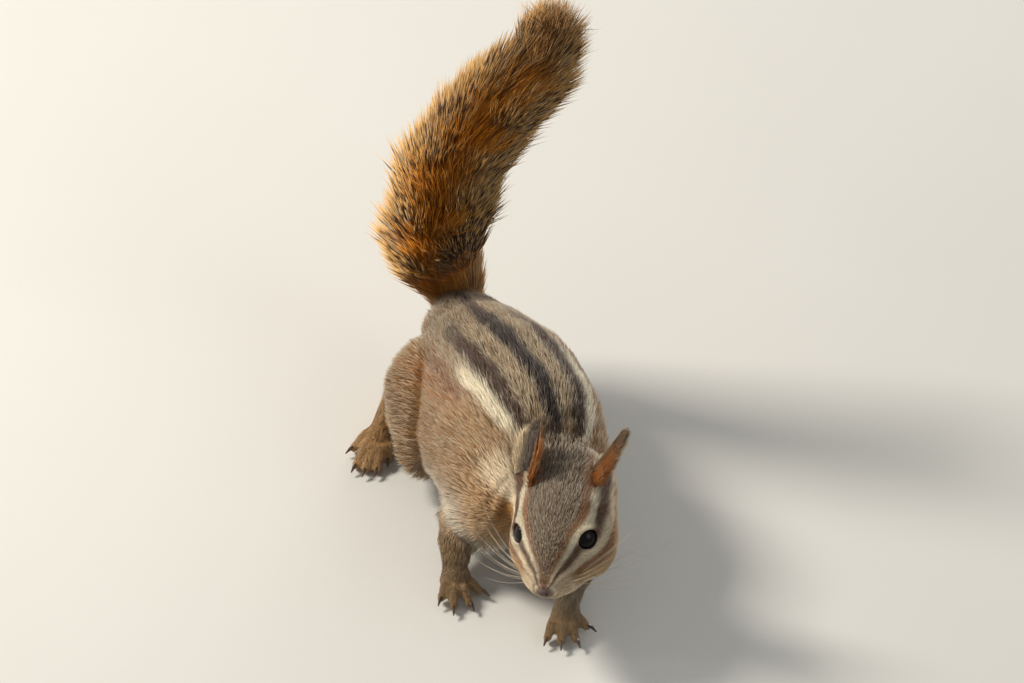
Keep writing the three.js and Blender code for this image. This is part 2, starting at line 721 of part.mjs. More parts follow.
// The origin is under the middle of the whole animal, on the floor
const bounds = new THREE.Box3().setFromObject(animal, true);
const middle = bounds.getCenter(new THREE.Vector3());
animal.position.set(-middle.x, -middle.y, 0);
const root = new THREE.Group();
root.add(animal);

export default root;
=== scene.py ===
# %% [markdown]
# # A chipmunk, still as a museum model
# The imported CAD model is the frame: every piece here is in metres in its space.
# The solids give the animal's forms, and this script dresses them: one skin, its coat of
# short tufts, the brush of the tail, ears, eyes, lids, nose leather and whiskers.

# %% Load the frame
import json
import math

import bpy
import bmesh
import numpy as np
from mathutils import Matrix, Vector
from mathutils.bvhtree import BVHTree

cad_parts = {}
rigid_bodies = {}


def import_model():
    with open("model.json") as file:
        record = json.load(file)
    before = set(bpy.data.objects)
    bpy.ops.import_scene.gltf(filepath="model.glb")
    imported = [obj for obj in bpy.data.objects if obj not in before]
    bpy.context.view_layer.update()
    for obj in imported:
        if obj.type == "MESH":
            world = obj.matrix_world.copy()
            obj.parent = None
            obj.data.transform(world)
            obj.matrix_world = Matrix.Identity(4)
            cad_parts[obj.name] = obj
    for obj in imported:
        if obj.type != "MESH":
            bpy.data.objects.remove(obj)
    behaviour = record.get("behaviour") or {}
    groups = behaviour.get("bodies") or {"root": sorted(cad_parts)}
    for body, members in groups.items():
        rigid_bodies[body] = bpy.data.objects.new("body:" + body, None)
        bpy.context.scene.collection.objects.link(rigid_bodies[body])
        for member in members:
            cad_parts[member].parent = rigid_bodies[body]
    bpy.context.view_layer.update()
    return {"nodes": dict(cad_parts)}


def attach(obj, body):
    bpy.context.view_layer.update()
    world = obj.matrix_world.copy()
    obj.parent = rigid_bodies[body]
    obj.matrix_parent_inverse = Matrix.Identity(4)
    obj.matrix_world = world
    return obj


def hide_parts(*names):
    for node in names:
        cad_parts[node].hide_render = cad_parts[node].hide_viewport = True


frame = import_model()

# %% [markdown]
# The animal was laid out in millimetres in its own frame: it faces -Y, its left is +X and
# its soles are at z = 0. The head has a frame of its own, at the nose: x to the left, y
# back along the skull and z up. These helpers turn one into the other.

# %% Frames and small helpers
MM = 0.001
SHIFT = np.array([0.7240591, -0.6536922, 0.0])  # from the animal's frame to the part's, mm
NOSE = np.array([-8.3, -51.7, 20.0])
HEAD_TURN = np.array(
    Matrix.Rotation(math.radians(-31), 3, "Z")
    @ Matrix.Rotation(math.radians(11), 3, "X")
    @ Matrix.Rotation(math.radians(-13.5), 3, "Y")
)


def metres(points):
    """Millimetres in the animal's frame to metres in the part's."""
    return (np.asarray(points, float) + SHIFT) * MM


def animal(points):
    """Metres in the part's frame to millimetres in the animal's."""
    return np.asarray(points, float) / MM - SHIFT


def from_head(points):
    """From the head's own frame to the animal's, mm."""
    return NOSE + np.asarray(points, float) @ HEAD_TURN.T


def to_head(points):
    """From the animal's frame to the head's own, mm."""
    return (np.asarray(points, float) - NOSE) @ HEAD_TURN


def unit(vectors):
    """The same directions, one long."""
    vectors = np.asarray(vectors, float)
    return vectors / np.maximum(np.linalg.norm(vectors, axis=-1, keepdims=True), 1e-9)


def step(low, high, value):
    """0 below low, 1 above high and a smooth rise between them."""
    t = np.clip((np.asarray(value, float) - low) / (high - low), 0, 1)
    return t * t * (3 - 2 * t)


def mix(a, b, share):
    """a passes into b by a share of 0 to 1: single colours, or one for each point."""
    share = np.asarray(share, float)[..., None]
    return np.asarray(a) * (1 - share) + np.asarray(b) * share


def paint(red, green, blue):
    """A colour as seen on a screen, 0 to 255, in the linear light that Blender mixes."""
    c = np.array([red, green, blue]) / 255
    return np.where(c <= 0.04045, c / 12.92, ((c + 0.055) / 1.055) ** 2.4)


def make_object(name, points, faces, smooth=True):
    """A mesh object from points in the animal's frame, in mm."""
    mesh = bpy.data.meshes.new(name)
    mesh.from_pydata(metres(points).tolist(), [], [tuple(int(i) for i in f) for f in faces])
    mesh.update()
    mesh.polygons.foreach_set("use_smooth", [smooth] * len(mesh.polygons))
    made = bpy.data.objects.new(name, mesh)
    bpy.context.scene.collection.objects.link(made)
    return made


def baked(obj, name):
    """The evaluated object as a plain mesh object, without its modifiers."""
    graph = bpy.context.evaluated_depsgraph_get()
    mesh = bpy.data.meshes.new_from_object(obj.evaluated_get(graph))
    made = bpy.data.objects.new(name, mesh)
    mesh.name = name
    bpy.context.scene.collection.objects.link(made)
    return made


def read_all(items, field, kind=np.float32, width=1):
    """One field of all points, edges, corners or faces of a mesh, as an array."""
    values = np.empty(len(items) * width, kind)
    items.foreach_get(field, values)
    return values if width == 1 else values.reshape(-1, width)


def points_of(mesh):
    """A mesh's points, in metres."""
    return read_all(mesh.vertices, "co", width=3).astype(float)


def normals_of(mesh):
    """The direction out of a mesh at each point."""
    return read_all(mesh.vertex_normals, "vector", width=3).astype(float)


def move_points(mesh, points):
    """Puts a mesh's points at places in the animal's frame, in mm."""
    mesh.vertices.foreach_set("co", metres(points).astype(np.float32).ravel())
    mesh.update()


def keep(mesh, name, values, kind="FLOAT", domain="POINT"):
    """Writes one attribute on a mesh."""
    layer = mesh.attributes.new(name, kind, domain)
    field = {"FLOAT": "value", "FLOAT_VECTOR": "vector", "FLOAT_COLOR": "color"}[kind]
    values = np.asarray(values, np.float32)
    if kind == "FLOAT_COLOR":
        values = np.concatenate([values, np.ones((len(values), 1), np.float32)], 1)
    layer.data.foreach_set(field, np.ascontiguousarray(values).ravel())


def keep_sizes(mesh, length, thick, rise):
    """Keeps each tuft's length, thickness and rise, given in mm, as hair_size in metres."""
    sizes = np.stack(np.broadcast_arrays(length, thick, rise), 1) * MM
    keep(mesh, "hair_size", sizes, "FLOAT_VECTOR")


print("nose at, m:", metres(NOSE).round(4))

# %% [markdown]
# The camera stands where the photograph was taken from: well above the animal, in front of
# it and to its right, with a long lens. The place comes from fitting the solids to the photograph.

# %% Camera
CAMERA_AT = (-0.685912, -1.540018, 1.457917)  # m
camera_data = bpy.data.cameras.new("camera")
camera_data.sensor_width = 36
camera_data.lens = 371.25
camera_data.clip_start = 0.05
camera_data.clip_end = 20
camera = bpy.data.objects.new("camera", camera_data)
bpy.context.scene.collection.objects.link(camera)
RIGHT = Vector((0.943197, -0.309868, 0.119836))
UP = Vector((0.115316, 0.643614, 0.756613))
BACK = Vector((-0.311578, -0.699816, 0.642788))
place = Matrix((RIGHT, UP, BACK)).transposed().to_4x4()
place.translation = Vector(CAMERA_AT)
camera.matrix_world = place
bpy.context.scene.camera = camera
print("camera lens, mm:", camera_data.lens)

# %% [markdown]
# A plain pale floor and soft studio light. In the photograph the light comes from above and
# from the viewer's left, so the large lamp hangs there, with a weak one across from it and
# one behind that draws a thin rim on the fur.

# %% Floor and light


def node(tree, kind, inputs=None, **settings):
    """Adds a node: settings first, then its inputs, each a value or a socket to link."""
    made = tree.nodes.new(kind)
    for name, value in settings.items():
        setattr(made, name, value)
    for key, value in (inputs or {}).items():
        socket = made.inputs[key]
        if isinstance(value, bpy.types.NodeSocket):
            tree.links.new(value, socket)
        else:
            socket.default_value = value
    return made


def new_finish(name, roughness, specular=0.5, **more):
    """A material with its shader's own sockets set, with its tree and its shader."""
    made = bpy.data.materials.new(name)
    made.use_nodes = True
    shader = made.node_tree.nodes["Principled BSDF"]
    shader.inputs["Roughness"].default_value = roughness
    shader.inputs["Specular IOR Level"].default_value = specular
    for key, value in more.items():
        shader.inputs[key.replace("_", " ")].default_value = value
    return made, made.node_tree, shader


def colour(values):
    """A colour as a socket wants it, with full cover."""
    return tuple(float(v) for v in values) + (1.0,)


def fine_noise(tree, scale, detail):
    """Noise of 0 to 1 in the object's own space."""
    where = node(tree, "ShaderNodeTexCoord").outputs["Object"]
    made = node(tree, "ShaderNodeTexNoise", {"Vector": where, "Scale": scale, "Detail": detail})
    return made.outputs["Fac"]


def raised(tree, shader, noise, height):
    """Relief of a height in metres, from noise."""
    inputs = {"Height": noise, "Strength": 0.5, "Distance": height}
    tree.links.new(node(tree, "ShaderNodeBump", inputs).outputs[0], shader.inputs["Normal"])


def two_tones(tree, value, dark, light, low=0.0, high=1.0):
    """A value as a colour between two tones."""
    ramp = node(tree, "ShaderNodeValToRGB", {"Fac": value})
    for stop, place, tone in zip(ramp.color_ramp.elements, (low, high), (dark, light)):
        stop.position = place
        stop.color = colour(tone)
    return ramp.outputs["Color"]


floor_finish, tree, shader = new_finish("pale_floor", 0.85, 0.2)
pale = two_tones(tree, fine_noise(tree, 6.0, 5.0), paint(203, 199, 190), paint(214, 211, 203))
tree.links.new(pale, shader.inputs["Base Color"])
HALF_FLOOR = 4000.0  # mm
corners = [(x * HALF_FLOOR, y * HALF_FLOOR, 0) for x, y in ((-1, -1), (1, -1), (1, 1), (-1, 1))]
floor = make_object("floor", corners, [(0, 1, 2, 3)], False)
floor.data.materials.append(floor_finish)

world = bpy.data.worlds.new("studio")
bpy.context.scene.world = world
world.use_nodes = True
world.node_tree.nodes["Background"].inputs["Color"].default_value = (0.93, 0.96, 1.0, 1)
world.node_tree.nodes["Background"].inputs["Strength"].default_value = 0.36


def lamp(name, right, up, back, size, power, tint):
    """A square lamp, placed from the middle of the animal along the camera's own axes."""
    data = bpy.data.lights.new(name, "AREA")
    data.size = size
    data.energy = power
    data.color = tint
    made = bpy.data.objects.new(name, data)
    bpy.context.scene.collection.objects.link(made)
    middle = Vector((0, 0, 0.04))
    spot = middle + RIGHT * right + UP * up + BACK * back
    made.matrix_world = (middle - spot).to_track_quat("-Z", "Y").to_matrix().to_4x4()
    made.location = spot


lamp("key_lamp", -0.62, 0.62, 0.30, 0.24, 10.5, (1.0, 0.96, 0.9))
lamp("fill_lamp", 0.80, 0.15, 0.55, 0.5, 1.2, (0.92, 0.96, 1.0))
lamp("catch_lamp", -0.85, 0.33, 0.05, 0.06, 1.0, (1.0, 1.0, 1.0))
lamp("rim_lamp", 0.25, 0.75, -0.55, 0.4, 3.0, (1.0, 0.98, 0.95))
bpy.context.scene.view_settings.view_transform = "Standard"
print("lamps: key, fill, rim and a catch light")

# %% [markdown]
# ## The skin
# On the animal one hide covers head, body and legs. The solids are separate nodes with thin
# gaps, so copies of them are grown a little until they meet, and a voxel remesh closes
# them into one surface. It could be sculpted instead, but the remesh keeps the solids' own
# forms. The skin is then smoothed and drawn inwards by the depth of the coat.

# %% One surface from the solids
FLESH = [
    "head", "neck", "torso", "foreleg_right", "foreleg_left", "hind_leg_right", "hind_leg_left",
    "forepaw_right", "forepaw_left", "hind_foot_right", "hind_foot_left",
]
GROW = 0.21  # mm; more than half of the solids' gaps
VOXEL = 0.46  # mm


def merged_copy(name):
    """A CAD node's points and triangles, with its loose corners merged."""
    work = bmesh.new()
    work.from_mesh(frame["nodes"][name].data)
    bmesh.ops.remove_doubles(work, verts=work.verts, dist=1e-6)
    bmesh.ops.triangulate(work, faces=work.faces)
    work.normal_update()
    points = np.array([v.co[:] for v in work.verts])
    normals = np.array([v.normal[:] for v in work.verts])
    work.verts.index_update()
    faces = np.array([[v.index for v in f.verts] for f in work.faces])
    work.free()
    return points, normals, faces


solids = {name: merged_copy(name) for name in FLESH + ["ear_right", "ear_left"]}


def remeshed(name, nodes, grow, voxel):
    """One closed surface round some solids, grown a little and remeshed, sizes in mm."""
    points, faces, count = [], [], 0
    for part in nodes:
        p, n, f = solids[part]
        points.append(p + n * grow * MM)
        faces.append(f + count)
        count += len(p)
    rough = make_object(name + "_rough", animal(np.concatenate(points)), np.concatenate(faces))
    change = rough.modifiers.new("remesh", "REMESH")
    change.mode = "VOXEL"
    change.voxel_size = voxel * MM
    change.use_smooth_shade = True
    made = baked(rough, name)
    bpy.data.objects.remove(rough)
    return made


def relax(mesh, points, strength, rounds):
    """Moves each point towards the mean of its neighbours."""
    edges = read_all(mesh.edges, "vertices", np.int32, 2)
    a, b = edges.T
    size = len(points)
    count = np.bincount(edges.ravel(), minlength=size)[:, None]
    for _ in range(rounds):
        sums = [
            np.bincount(a, points[b, k], size) + np.bincount(b, points[a, k], size)
            for k in range(3)]
        points = points + (np.stack(sums, 1) / np.maximum(count, 1) - points) * strength
    return points


skin = remeshed("skin", FLESH, GROW, VOXEL)
print("skin:", len(skin.data.vertices), "points,", len(skin.data.polygons), "faces")

# %% [markdown]
# How far a point is from each solid says which region it belongs to, and blends one region
# into the next: head, body, forelegs, hind legs, forepaws and hind feet.

# %% Regions of the skin
REGIONS = {
    "head": ["head"],
    "body": ["neck", "torso"],
    "foreleg": ["foreleg_right", "foreleg_left"],
    "hind_leg": ["hind_leg_right", "hind_leg_left"],
    "forepaw": ["forepaw_right", "forepaw_left"],
    "hind_foot": ["hind_foot_right", "hind_foot_left"],
}
at = animal(points_of(skin.data))


def region_shares(points):
    """How much each point belongs to each region; the shares of a point add up to 1."""
    away = []
    for names in REGIONS.values():
        gap = np.full(len(points), 1e3)
        for name in names:
            p, _, f = solids[name]
            tree_of = BVHTree.FromPolygons(animal(p).tolist(), f.tolist())
            gap = np.minimum(gap, [tree_of.find_nearest(Vector(q))[3] for q in points])
        away.append(gap)
    away = np.stack(away, 1)
    share = np.exp(-(away - away.min(1, keepdims=True)) / 0.9)
    return dict(zip(REGIONS, (share / share.sum(1, keepdims=True)).T))


share = region_shares(at)


def blend(**values):
    """One value for each region, blended over the skin."""
    first = np.asarray(next(iter(values.values())), float)
    shape = (len(at), 3) if first.shape[-1:] == (3,) else (len(at),)
    total = np.zeros(shape)
    for name in REGIONS:
        value = np.broadcast_to(np.asarray(values[name], float), shape)
        total = total + value * (share[name][:, None] if len(shape) == 2 else share[name])
    return total


print({name: int((value > 0.5).sum()) for name, value in share.items()})

# %% [markdown]
# ## Lie, length and depth of the coat
# Hair starts at the nose and lies back over the skull, along the back, a little down on the
# flanks, and down each leg to the toes. Lines down the legs and toes give its direction
# there. Every value is kept on the skin's points, where the geometry nodes read it.

# %% Lines of the legs and toes
LEGS = [
    [(-8.5, -16, 17.5), (-11.8, -13.6, 11), (-14.6, -18.4, 8), (-16.3, -22.4, 6),
     (-16.9, -25.6, 3.2)],
    [(10, -15, 17), (12.2, -21.5, 9.6), (8.2, -30.5, 7.4), (3.8, -37.4, 5.8), (2.2, -41.2, 3.2)],
    [(-9, 8, 24), (-12, 14, 14), (-13.4, 20, 8.6), (-10.6, 32, 6.2), (-10.2, 33.6, 3.4)],
    [(11, 8, 24), (13, 14, 14), (13, 20, 8.4), (10.8, 31.4, 6.2), (10.6, 33, 3.4)],
]
TOES = [
    ((-16.9, -25.6, 3.2), [(-22, -30.8), (-19.9, -34), (-15.6, -33.6), (-11.5, -30)]),
    ((2.2, -41.2, 3.2), [(-3.9, -46.7), (-1, -48.6), (2.9, -48.6), (7.2, -44.8)]),
    ((-19.2, 20, 3), [(-26.4, 18.6), (-27.2, 12.9), (-25.4, 11.2), (-22.9, 10.7), (-19.4, 13)]),
    ((16.2, 17, 3), [(14.2, 10), (17.2, 7.4), (20, 7), (22.4, 8.4), (23.4, 13.2)]),
]
SOLES = [
    [(-10.2, 33.6, 3.4), (-14.6, 26.6, 3.2), (-19.2, 20, 3)],
    [(10.6, 33, 3.4), (13.4, 24.6, 3.2), (16.2, 17, 3)],
]
TOE_HEIGHT = 1.6


def nearest_run(points, lines):
    """The direction of the nearest stretch of several lines, for each point."""
    best = np.full(len(points), 1e9)
    run = np.zeros((len(points), 3))
    for line in lines:
        for start, end in zip(np.array(line, float)[:-1], np.array(line, float)[1:]):
            d = end - start
            t = np.clip((points - start) @ d / (d @ d), 0, 1)
            gap = np.linalg.norm(points - start - t[:, None] * d, axis=1)
            near = gap < best
            best[near] = gap[near]
            run[near] = d / math.sqrt(d @ d)
    return run


toe_lines = [[base, (x, y, TOE_HEIGHT)] for base, reaches in TOES for x, y in reaches]
h = to_head(at)
around = np.degrees(np.arctan2(at[:, 0] - 0.8, at[:, 2] - 23))
head_back = HEAD_TURN @ np.array([0, 1.0, 0])
lie_head = np.stack([0.05 * h[:, 0], np.ones(len(at)), 0.03 * h[:, 2] - 0.1], 1) @ HEAD_TURN.T
EYE = np.array([5.5, 12.9, 3.8])
eye_gap = np.full(len(at), 1e3)
for side in (-1, 1):
    centre = from_head(EYE * (side, 1, 1))
    gap = np.linalg.norm(at - centre, axis=1)
    push = 1.7 * np.exp(-(((gap - 3.3) / 1.7) ** 2)) * (gap < 9)
    lie_head += unit(at - centre) * push[:, None]
    eye_gap = np.minimum(eye_gap, gap)
flank = step(35, 100, np.abs(around))
down = -0.42 * flank * (1 - step(120, 160, np.abs(around)))
lie_body = np.stack([np.zeros(len(at)), np.ones(len(at)), down], 1)
lie_body = mix(lie_body, head_back + np.array([0, 0.1, -0.15]), 1 - step(-31, -16, at[:, 1]))
lie_body[:, 2] -= 0.8 * (1 - step(-30, -18, at[:, 1])) * step(70, 130, np.abs(around))
lie = blend(
    head=lie_head,
    body=lie_body,
    foreleg=nearest_run(at, LEGS[:2]),
    hind_leg=nearest_run(at, LEGS[2:]) * 0.6 + (0, 0.6, 0),
    forepaw=nearest_run(at, toe_lines[:8]),
    hind_foot=nearest_run(at, toe_lines[8:] + SOLES),
)
print("lines of hair:", len(LEGS), "legs,", len(toe_lines), "toes")

# %% [markdown]
# Hair is under a millimetre on the nose, a little over one on the toes, 2 to 4 mm on the
# head and about 4 mm on back and belly. The eyes, the nose leather and the soles stay bare.
# Near the eyes the hair gets short, and it lies away from them, so that none crosses the
# ball. Round the ears it stands up a little and covers their roots. The skin is smoothed,
# less on face and feet, where small forms matter, and then drawn in by the coat's depth.

# %% Length, depth and density
EYE_HOLE = 3.75  # mm from the middle of the eye to the first hair
EAR_ROOTS = ((-9.0, 23.8, 10.5), (8.6, 26.4, 11.5))  # in the head's frame
face = np.interp(h[:, 1], [0, 4, 9, 15, 20, 28], [0.6, 1.1, 1.7, 2.3, 2.9, 3.8])
depth_head = np.interp(h[:, 1], [0, 3, 6, 12, 20, 28], [0.3, 0.42, 0.34, 0.32, 0.55, 0.9])
length = blend(head=face, body=4.4, foreleg=2.4, hind_leg=3.6, forepaw=1.25, hind_foot=1.3)
depth = blend(head=depth_head, body=1.15, foreleg=0.6, hind_leg=1.0, forepaw=0.12, hind_foot=0.12)
ear_gap = np.minimum(*[np.linalg.norm(h - spot, axis=1) for spot in EAR_ROOTS])
near_ear = np.exp(-((ear_gap / 3.6) ** 2)) * share["head"]
off_floor = 0.35 + 0.65 * step(0.6, 4.0, at[:, 2])
length = length * np.clip((eye_gap - 3.2) / 3.5, 0.3, 1) * (1 + 0.35 * near_ear) * off_floor
depth = depth * (0.1 + 0.9 * step(3.6, 6.5, eye_gap)) * (0.2 + 0.8 * step(0.3, 3.0, at[:, 2]))
thick_head = np.interp(h[:, 1], [0, 12, 26], [0.12, 0.14, 0.22])
thick = blend(head=thick_head, body=0.21, foreleg=0.17, hind_leg=0.2, forepaw=0.13, hind_foot=0.13)
close_head = np.interp(h[:, 1], [0, 14, 26], [42, 28, 10])  # tufts per square mm
close = blend(head=close_head, body=10.0, foreleg=13, hind_leg=10, forepaw=28, hind_foot=24)
bare = (eye_gap < EYE_HOLE) | ((h[:, 1] < 1.15) & (share["head"] > 0.5)) | (at[:, 2] < 0.45)
points = relax(skin.data, at, 0.5, 5)
small_forms = share["forepaw"] + share["hind_foot"] + share["head"] * (h[:, 1] < 16)
points = mix(points, relax(skin.data, at, 0.5, 2), np.clip(small_forms, 0, 1))
move_points(skin.data, points)
points = points - normals_of(skin.data) * depth[:, None]
points[:, 2] = np.maximum(points[:, 2], 0.0)
move_points(skin.data, points)
print("hair, mm:", round(float(length.min()), 2), "to", round(float(length.max()), 2))

# %% [markdown]
# ## Markings
# Seen from above, the back carries a black line down its middle, then on each side a
# grizzled light stripe, a dark stripe and a cream one, and below them rust brown that fades
# into the buff flank and the pale belly. The face has the same order in small: grizzled
# crown, pale brow, dark line through the eye, pale cheek stripe, brown line, buff cheek.
# Angles round the body and the skull place them, so they are rules, not a picture.

# %% Colours of the coat
CROWN = paint(128, 104, 80)
BLACK = paint(46, 34, 28)
DARK = paint(78, 54, 40)
GREY_LIGHT = paint(160, 134, 102)
CREAM = paint(240, 228, 202)
RUST = paint(176, 112, 62)
TAN = paint(176, 134, 88)
RUMP = paint(150, 122, 88)
BELLY = paint(232, 220, 200)
BUFF = paint(196, 154, 104)
PAW = paint(196, 156, 110)
WRIST = paint(152, 128, 100)
NOSE_DARK = paint(84, 58, 50)
CHEEK_BROWN = paint(150, 98, 58)


def stripes(value, rows, edge=0.14):
    """Pairs of a centre and a colour along a value; colours change halfway between centres."""
    centres = [np.broadcast_to(np.asarray(centre, float), value.shape) for centre, _ in rows]
    result = np.broadcast_to(rows[0][1], (len(value), 3)).copy()
    for low, high, (_, tint) in zip(centres[:-1], centres[1:], rows[1:]):
        t = (value - low) / np.maximum(high - low, 1e-3)
        result = mix(result, tint, step(0.5 - edge, 0.5 + edge, t))
    return result


def wander(points, size, seed):
    """A smooth wobble from a few waves, so that no edge is ruled straight."""
    rng = np.random.default_rng(seed)
    total = np.zeros(len(points))
    for _ in range(6):
        wave = unit(rng.normal(size=3)) * rng.uniform(0.6, 1.6) / size
        total += np.sin(points @ wave * 2 * math.pi + rng.uniform(0, 6.3))
    return total / 6


y = at[:, 1]
middle = np.interp(y, [-25.5, -22, -16, -6.3, 3.9, 19.6, 30], [-3, 6, 6, 3, -3, -10, -10])
spread = np.interp(y, [-26, -20, -12, 3, 16, 26], [0.84, 0.93, 1.0, 1.06, 1.17, 1.1])
band = np.abs(around - middle) / spread + 1.3 * wander(at, 9, 3)
outer_light = mix(CREAM, mix(GREY_LIGHT, TAN, 0.5), 0.85 * step(-6, 8, y))
behind = step(-14, -4, y)
below_light = mix(TAN, CHEEK_BROWN, behind)
rust_line = mix(TAN, mix(RUST, TAN, 0.35), behind)
back_colour = stripes(band, [
    (0, BLACK), (14.5, GREY_LIGHT), (27, DARK * 0.9), (41, outer_light), (50, below_light),
    (60, rust_line), (80, TAN), (148, BELLY)], 0.2)
rump_colour = stripes(band, [(0, DARK), (14, RUMP), (90, mix(RUMP, TAN, 0.5)), (150, BELLY)])
body_colour = mix(back_colour, rump_colour, step(8, 23, y + 2.5 * wander(at, 7, 8)))
nape = stripes(band, [
    (0, mix(DARK, CROWN, 0.4)), (13, CROWN), (46, mix(CROWN, TAN, 0.6)),
    (75, mix(TAN, BUFF, 0.5)), (165, BELLY)])
body_colour = mix(nape, body_colour, step(-29, -22.5, y + 1.5 * wander(at, 6, 5)))
print("body:", int((share["body"] > 0.5).sum()), "points with a colour of their own")

# %% [markdown]
# On the head the same is done with the angle round the skull, at each distance back from
# the nose. The lines meet at the nose and open out towards the ears.

# %% Colours of the head
hy = h[:, 1]
skull = np.degrees(np.arctan2(np.abs(h[:, 0]), h[:, 2] - 1)) + 1.5 * wander(at, 5, 11)
skull_axis = np.where(h[:, 2] < -9, 180, skull)
crown_edge = np.interp(hy, [3.7, 7.1, 11.4, 13.5, 20, 26], [21, 25, 29, 33, 27, 22])
brow = np.interp(
    hy, [2.7, 5.6, 7.7, 10.5, 13, 15.2, 17, 20.5, 23], [49, 43, 41, 43, 48, 51, 43, 38, 34])
eye_line = np.interp(hy, [4.2, 6.3, 8.5, 14, 16, 19.5, 22.8], [61, 56, 56, 64, 56, 55, 50])
pale_cheek = np.interp(hy, [5.7, 8.3, 10, 13, 20, 22, 25], [80, 73, 76, 83, 76, 72, 63])
brown_cheek = np.interp(hy, [6, 9.5, 14.8, 20, 25], [88, 91, 91, 86, 76])
jaw = np.interp(hy, [4, 12, 25], [108, 112, 108])
throat = np.interp(hy, [4, 12, 25], [128, 140, 150])
cheek_tint = mix(CHEEK_BROWN, TAN, step(14, 19, hy))
head_colour = stripes(skull_axis, [
    (0, CROWN), (crown_edge - 5, CROWN), (crown_edge + 5, mix(CROWN, RUST, 0.6)),
    (brow, CREAM), (eye_line, mix(DARK, CHEEK_BROWN, 0.25)), (pale_cheek, mix(CREAM, BUFF, 0.25)),
    (brown_cheek, cheek_tint), (jaw, BUFF), (throat, BELLY)], 0.22)
bridge = (1 - step(3.5, 6.5, hy)) * (1 - step(30, 60, skull_axis))
head_colour = mix(head_colour, mix(CROWN, RUST, 0.3), bridge)
nose_mark = 0.7 * np.exp(-((hy - 3.9) ** 2)) * (1 - step(12, 26, skull_axis))
head_colour = mix(head_colour, DARK, nose_mark)
lip = (1 - step(3.4, 5.4, hy)) * step(70, 95, skull_axis)
head_colour = mix(head_colour, mix(CREAM, BUFF, 0.35), lip)
head_colour = mix(head_colour, NOSE_DARK, 0.8 * (1 - step(0.4, 1.2, hy)))
eye_rim = 0.8 * np.exp(-(((eye_gap - 4.0) / 0.55) ** 2))
off_line = 1 - 0.95 * np.exp(-(((skull_axis - eye_line) / 11) ** 2))
head_colour = mix(head_colour, paint(238, 222, 190), eye_rim * off_line)
head_colour = mix(head_colour, nape, step(25, 30, hy))
print("head:", int((share["head"] > 0.5).sum()), "points with a colour of their own")

# %% [markdown]
# Legs fade from the flank's colour to grizzled wrists and ochre toes. Then everything is
# blended over the skin and kept there, with how grizzled the hair is at each point.

# %% Colours of the legs, and all of them on the skin
outer_leg = mix(TAN, BUFF, step(0, 8, 14 - at[:, 2]))
leg_inside = np.abs(at[:, 0] - 1) < 8
fore_colour = mix(outer_leg, WRIST, 0.6 * step(0, 6, 13 - at[:, 2]))
fore_colour = mix(fore_colour, BELLY, 0.45 * leg_inside)
hind_colour = mix(mix(RUMP, TAN, 0.5), body_colour, step(19, 24, at[:, 2]))
hind_colour = mix(hind_colour, BUFF, step(0, 7, 11 - at[:, 2]) * 0.7)
coat = blend(
    head=head_colour,
    body=body_colour,
    foreleg=fore_colour,
    hind_leg=hind_colour,
    forepaw=mix(WRIST, mix(PAW, WRIST, 0.4), step(0, 5, 7 - at[:, 2])),
    hind_foot=mix(TAN, PAW, step(0, 4, 7 - at[:, 2])),
)
lightness = coat.mean(1)
tip = mix(coat, mix(coat, CREAM, 0.4), 1 - step(0.3, 0.6, lightness))
tip = mix(coat, tip, step(0.02, 0.12, lightness))
crown_only = 0.6 * (1 - step(28, 40, skull_axis)) + 0.1
grizzle = blend(
    head=crown_only, body=0.55, foreleg=0.35, hind_leg=0.55, forepaw=0.12, hind_foot=0.12)
grizzle = grizzle * (1 - 0.8 * step(0.45, 0.7, lightness))
grizzle = grizzle * (0.35 + 0.65 * step(0.03, 0.1, lightness))
for name, values in (("colour", coat), ("tip_colour", tip)):
    keep(skin.data, name, np.clip(values, 0, 1), "FLOAT_COLOR")
keep(skin.data, "lie", unit(lie), "FLOAT_VECTOR")
keep_sizes(skin.data, length, thick, depth * 1.05 + length * 0.1 + 0.7 * near_ear)
keep(skin.data, "grizzle", grizzle)
keep(skin.data, "banding", 0.35 * grizzle)
print("coat colours on", len(coat), "points")

# %% [markdown]
# The tufts bake their colours through a map called OFBake, which needs a place for each
# root. The skin is laid out by region and by the side that a face looks to, each patch in
# its own cell, as a furrier would lay pieces of hide on a table.

# %% The skin laid flat
MARGIN = 0.04  # of a cell, left free on each side


def lay_flat(mesh, region, cells):
    """Keeps root_uv: each corner's place, by region and by the face's main direction."""
    places = points_of(mesh)
    corner = read_all(mesh.loops, "vertex_index", np.int32)
    totals = read_all(mesh.polygons, "loop_total", np.int32)
    facing = read_all(mesh.polygons, "normal", width=3)
    face_of = np.repeat(np.arange(len(totals)), totals)
    axis = np.abs(facing).argmax(1)
    side = (facing[np.arange(len(axis)), axis] > 0).astype(int)
    starts = np.concatenate([[0], np.cumsum(totals)[:-1]])
    cell = region[corner[starts]] * 6 + axis * 2 + side
    flat = np.zeros((len(corner), 3))
    across = [(1, 2), (0, 2), (0, 1)]
    for c in np.unique(cell):
        chosen = cell[face_of] == c
        spot = places[corner[chosen]][:, across[(c % 6) // 2]]
        low = spot.min(0)
        span = max((spot.max(0) - low).max(), 1e-6)
        row, column = divmod(int(c), cells)
        inner = (spot - low) / span * (1 - 2 * MARGIN)
        flat[chosen, :2] = (np.array([column, row]) + MARGIN + inner) / cells
    keep(mesh, "root_uv", flat, "FLOAT_VECTOR", "CORNER")


left = at[:, 0] > 1
fore = share["foreleg"] + share["forepaw"]
hind = share["hind_leg"] + share["hind_foot"]
limb = np.where(fore > hind, 2, 4) + left
region = np.where(share["head"] > 0.5, 0, np.where(share["body"] > 0.5, 1, limb))
lay_flat(skin.data, region, 6)
print("patches of hide:", 36)

